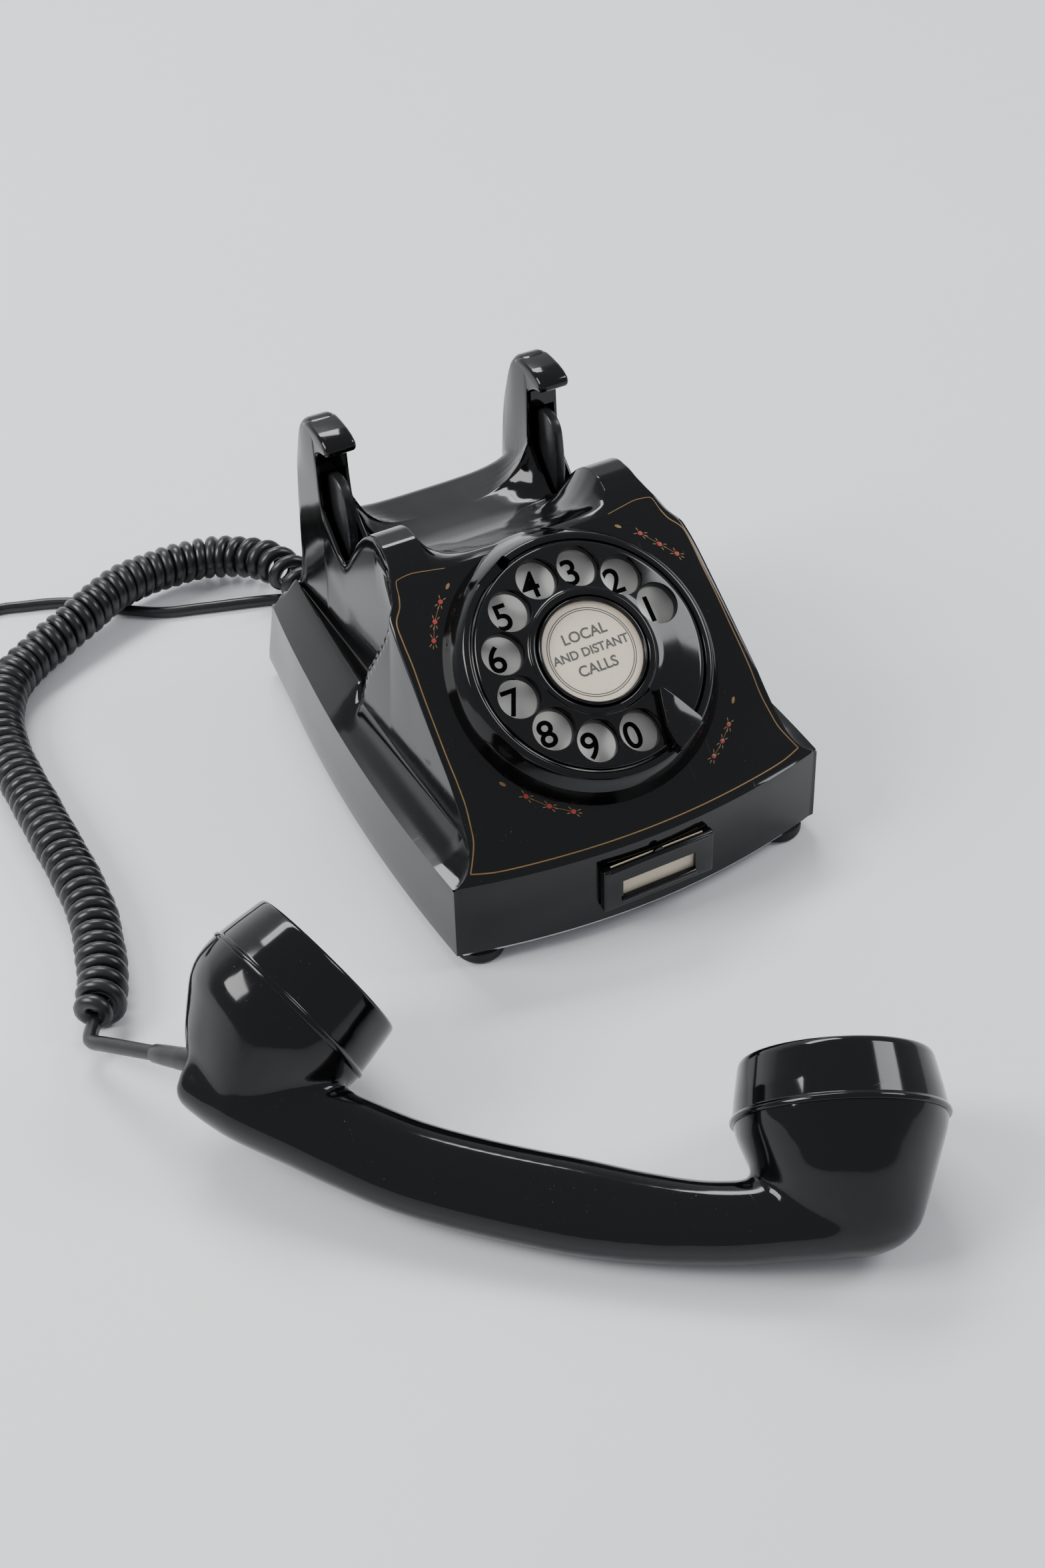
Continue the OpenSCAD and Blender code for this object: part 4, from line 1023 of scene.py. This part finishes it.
def ball(middle, r, sx=1.0):
    """Points on a ball, squashed along X by sx."""
    points = []
    for i in range(1, 12):
        a = pi * i / 12
        for k in range(24):
            t = 2 * pi * k / 24
            points.append(Vector((middle[0] + sx * r * sin(a) * cos(t), middle[1] + r * cos(a),
                                  middle[2] + r * sin(a) * sin(t))) * MM)
    return points


INV = HS.inverted()
txl, rxl = INV @ TX, INV @ RX
bowl_t = hull_of("bowl_t", [disc(txl, 5, 29.4), disc(txl, -2, 29.7), disc(txl, -8, 29), disc(txl, -13, 26.8),
                            ball((-126, 31, 0), 15), ball((-128.5, 46, 0), 18.2)])
bowl_r = hull_of("bowl_r", [disc(rxl, 5, 30.6), disc(rxl, -3, 29.7), disc(rxl, -9, 27.2),
                            disc(rxl, -17, 23.2),
                            ball((42, -7.6, 0), 13.6, 1.55)])
grip = join("handle_grip", [bar, bowl_t, bowl_r])
mod = grip.modifiers.new("r", "REMESH")
mod.mode, mod.voxel_size = "VOXEL", 0.0011
mod = grip.modifiers.new("s", "SMOOTH")
mod.factor, mod.iterations = 0.5, 30
grip.data = bpy.data.meshes.new_from_object(grip.evaluated_get(bpy.context.evaluated_depsgraph_get()))
grip.modifiers.clear()
flats = []
for mtx in (txl, rxl):
    flats.append(lathe("flat", [(0, -0.2), (45, -0.2), (45, 14), (0, 14)], 48, mtx, close=True))
cut(grip, flats)
grip.data.shade_smooth()
grip.data.set_sharp_from_angle(angle=radians(50))
grip.data.transform(HS)
for vert in grip.data.vertices:
    vert.co.z = max(vert.co.z, 0.0002)
wear(grip, "handset", "bakelite", replaces=("handle",))

TCAP = [(0, 10.4), (0, 12.8), (12, 13.6), (20, 15.2), (24.4, 17.3), (25.8, 17.6), (26.9, 17),
        (27.3, 15.6), (28.6, 7), (29.2, 2.0),
        (29.4, 1.6), (29.95, 1.2), (30.05, 0.5), (29.8, -0.3), (26.6, -0.3), (25.4, 9), (24, 11), (12, 10.4)]
RCAP = [(0, 8.2), (0, 10.4), (8, 10.8), (16, 13), (22, 15.6), (24.6, 17.6), (26, 18), (27.1, 17.3),
        (27.7, 16), (29.4, 7), (30.1, 2.0),
        (30.4, 1.6), (30.9, 1.2), (31.0, 0.5), (30.8, -0.3), (27, -0.3), (25.8, 9), (24, 11.4),
        (16, 10), (8, 8.4)]
for name, prof, mtx, ring_spec, nodes_ in (
        ("cap_transmitter", TCAP, TX, ((0, 1, 1.0), (5, 6, 1.0), (10, 12, 1.0), (15, 16, 1.0)),
         ("transmitter_cap",)),
        ("cap_receiver", RCAP, RX, ((0, 1, 1.2), (6, 6, 1.2)), ("receiver_cap",))):
    capo = lathe(name, prof, 144, None, ease=0.7)
    drills = []
    for rr, count, hr in ring_spec:
        for k in range(count):
            a = 2 * pi * k / count
            drills.append(lathe("d", [(0, 6), (hr, 6), (hr, 16), (hr + 0.6, 17), (0, 17)], 16,
                                at(rr * cos(a), rr * sin(a), 0), close=True))
    cut(capo, [join("drills", drills)])
    capo.data.transform(mtx)
    wear(capo, "handset", "bakelite", replaces=nodes_)

# strain relief where the cord enters the handset
q_rot = Vector((0, 0, 1)).rotation_difference(SLEEVE_DIR).to_matrix().to_4x4()
sleeve = lathe("sleeve_piece",
               [(0, -6), (3.15, -6), (3.5, 1), (3.4, 2), (3.2, 8), (2.9, 13.6), (2.6, 14.3), (0, 14.3)], 40,
               Matrix.Translation(SLEEVE * MM) @ q_rot)
wear(sleeve, "handset", "cord_rubber", replaces=("handset_sleeve",))

# ------------------------------------------------------------------ cradle levers
LEVER = [(51.5, 104), (48.6, 103.9), (46, 103), (44, 101.4), (42.8, 99), (42.1, 95), (41.5, 90),
         (41.2, 85), (41.6, 79), (42.8, 72),
         (44.6, 66), (45, 57), (55, 57), (56.6, 66), (57.4, 80), (57.6, 97), (55.4, 103)]
eased = [tuple(p)[:2] for p in rounded([(a, b2, 0) for a, b2 in LEVER + LEVER[:1]], 1.0, 2)[1:]]
for sgn, word in ((-1, "left"), (1, "right")):
    lever = prism("lever_" + word, eased, sgn * 40 - 1.8, sgn * 40 + 1.8, ease=0.8)
    wear(lever, "cradle", "blackened_steel", replaces=("cradle_lever_" + word,))

# ------------------------------------------------------------------ feet
for name, fx, fy in (("front_left", -57, -76), ("front_right", 57, -76), ("rear_left", -46, 80),
                     ("rear_right", 46, 80)):
    ft = lathe("rubber_" + name,
               [(0, 2), (2.2, 2), (2.2, 0.4), (2.8, 0), (7, 0), (8, 0.7), (8.3, 1.6), (8.3, 4.3),
                (0, 4.3)], 56,
               at(fx, fy, 0), ease=0.3)
    wear(ft, "base", "foot_rubber", replaces=("foot_" + name,))

# ------------------------------------------------------------------ set and light
prof = [(-1.6, 0), (0.7, 0)] + [(0.7 + 0.9 * sin(a * pi / 32),
                                 0.9 - 0.9 * cos(a * pi / 32)) for a in range(1, 17)] + [(1.6, 3.0)]
me = bpy.data.meshes.new("floor")
fv, ff = [], []
for i, (y, z) in enumerate(prof):
    fv += [(-3.2, y, z), (3.2, y, z)]
    if i:
        ff.append((2 * i - 2, 2 * i - 1, 2 * i + 1, 2 * i))
me.from_pydata(fv, [], ff)
me.shade_smooth()
floor = bpy.data.objects.new("floor", me)
SCENE.collection.objects.link(floor)
fm, nt, b = material("floor_paper", (0.8, 0.81, 0.825), 0.5, spec=0.3)
v = coords(nt)
nt.links.new(ramp(nt, noise(nt, v, 9, 4), [(0.3, 0.36), (0.7, 0.48)]), b.inputs["Roughness"])
nt.links.new(mixed(nt, noise(nt, v, 3, 3), (0.79, 0.80, 0.82), (0.82, 0.83, 0.84)), b.inputs["Base Color"])
floor.data.materials.append(fm)


def area(name, loc, target, size, power, size_y=None, colour=(1, 1, 1)):
    li = bpy.data.lights.new(name, "AREA")
    li.energy = power
    li.color = colour
    li.size = size
    if size_y:
        li.shape = "RECTANGLE"
        li.size_y = size_y
    ob = bpy.data.objects.new(name, li)
    ob.location = loc
    ob.rotation_mode = "QUATERNION"
    ob.rotation_quaternion = (Vector(target) - Vector(loc)).to_track_quat("-Z", "Y")
    SCENE.collection.objects.link(ob)
    return ob


area("soft_left", (-1.5, 0.35, 1.35), (0, 0, 0), 0.9, 34, 0.9)
area("soft_right", (1.12, -0.42, 1.12), (0.05, -0.05, 0.06), 0.6, 10, 0.62, (0.96, 0.98, 1.0))
area("soft_back", (0.15, 1.5, 2.0), (0, 0, 0), 1.5, 52, 0.7)
world = bpy.data.worlds.new("world")
SCENE.world = world
world.use_nodes = True
world.node_tree.nodes["Background"].inputs["Color"].default_value = (0.93, 0.95, 1.0, 1)
world.node_tree.nodes["Background"].inputs["Strength"].default_value = 0.5
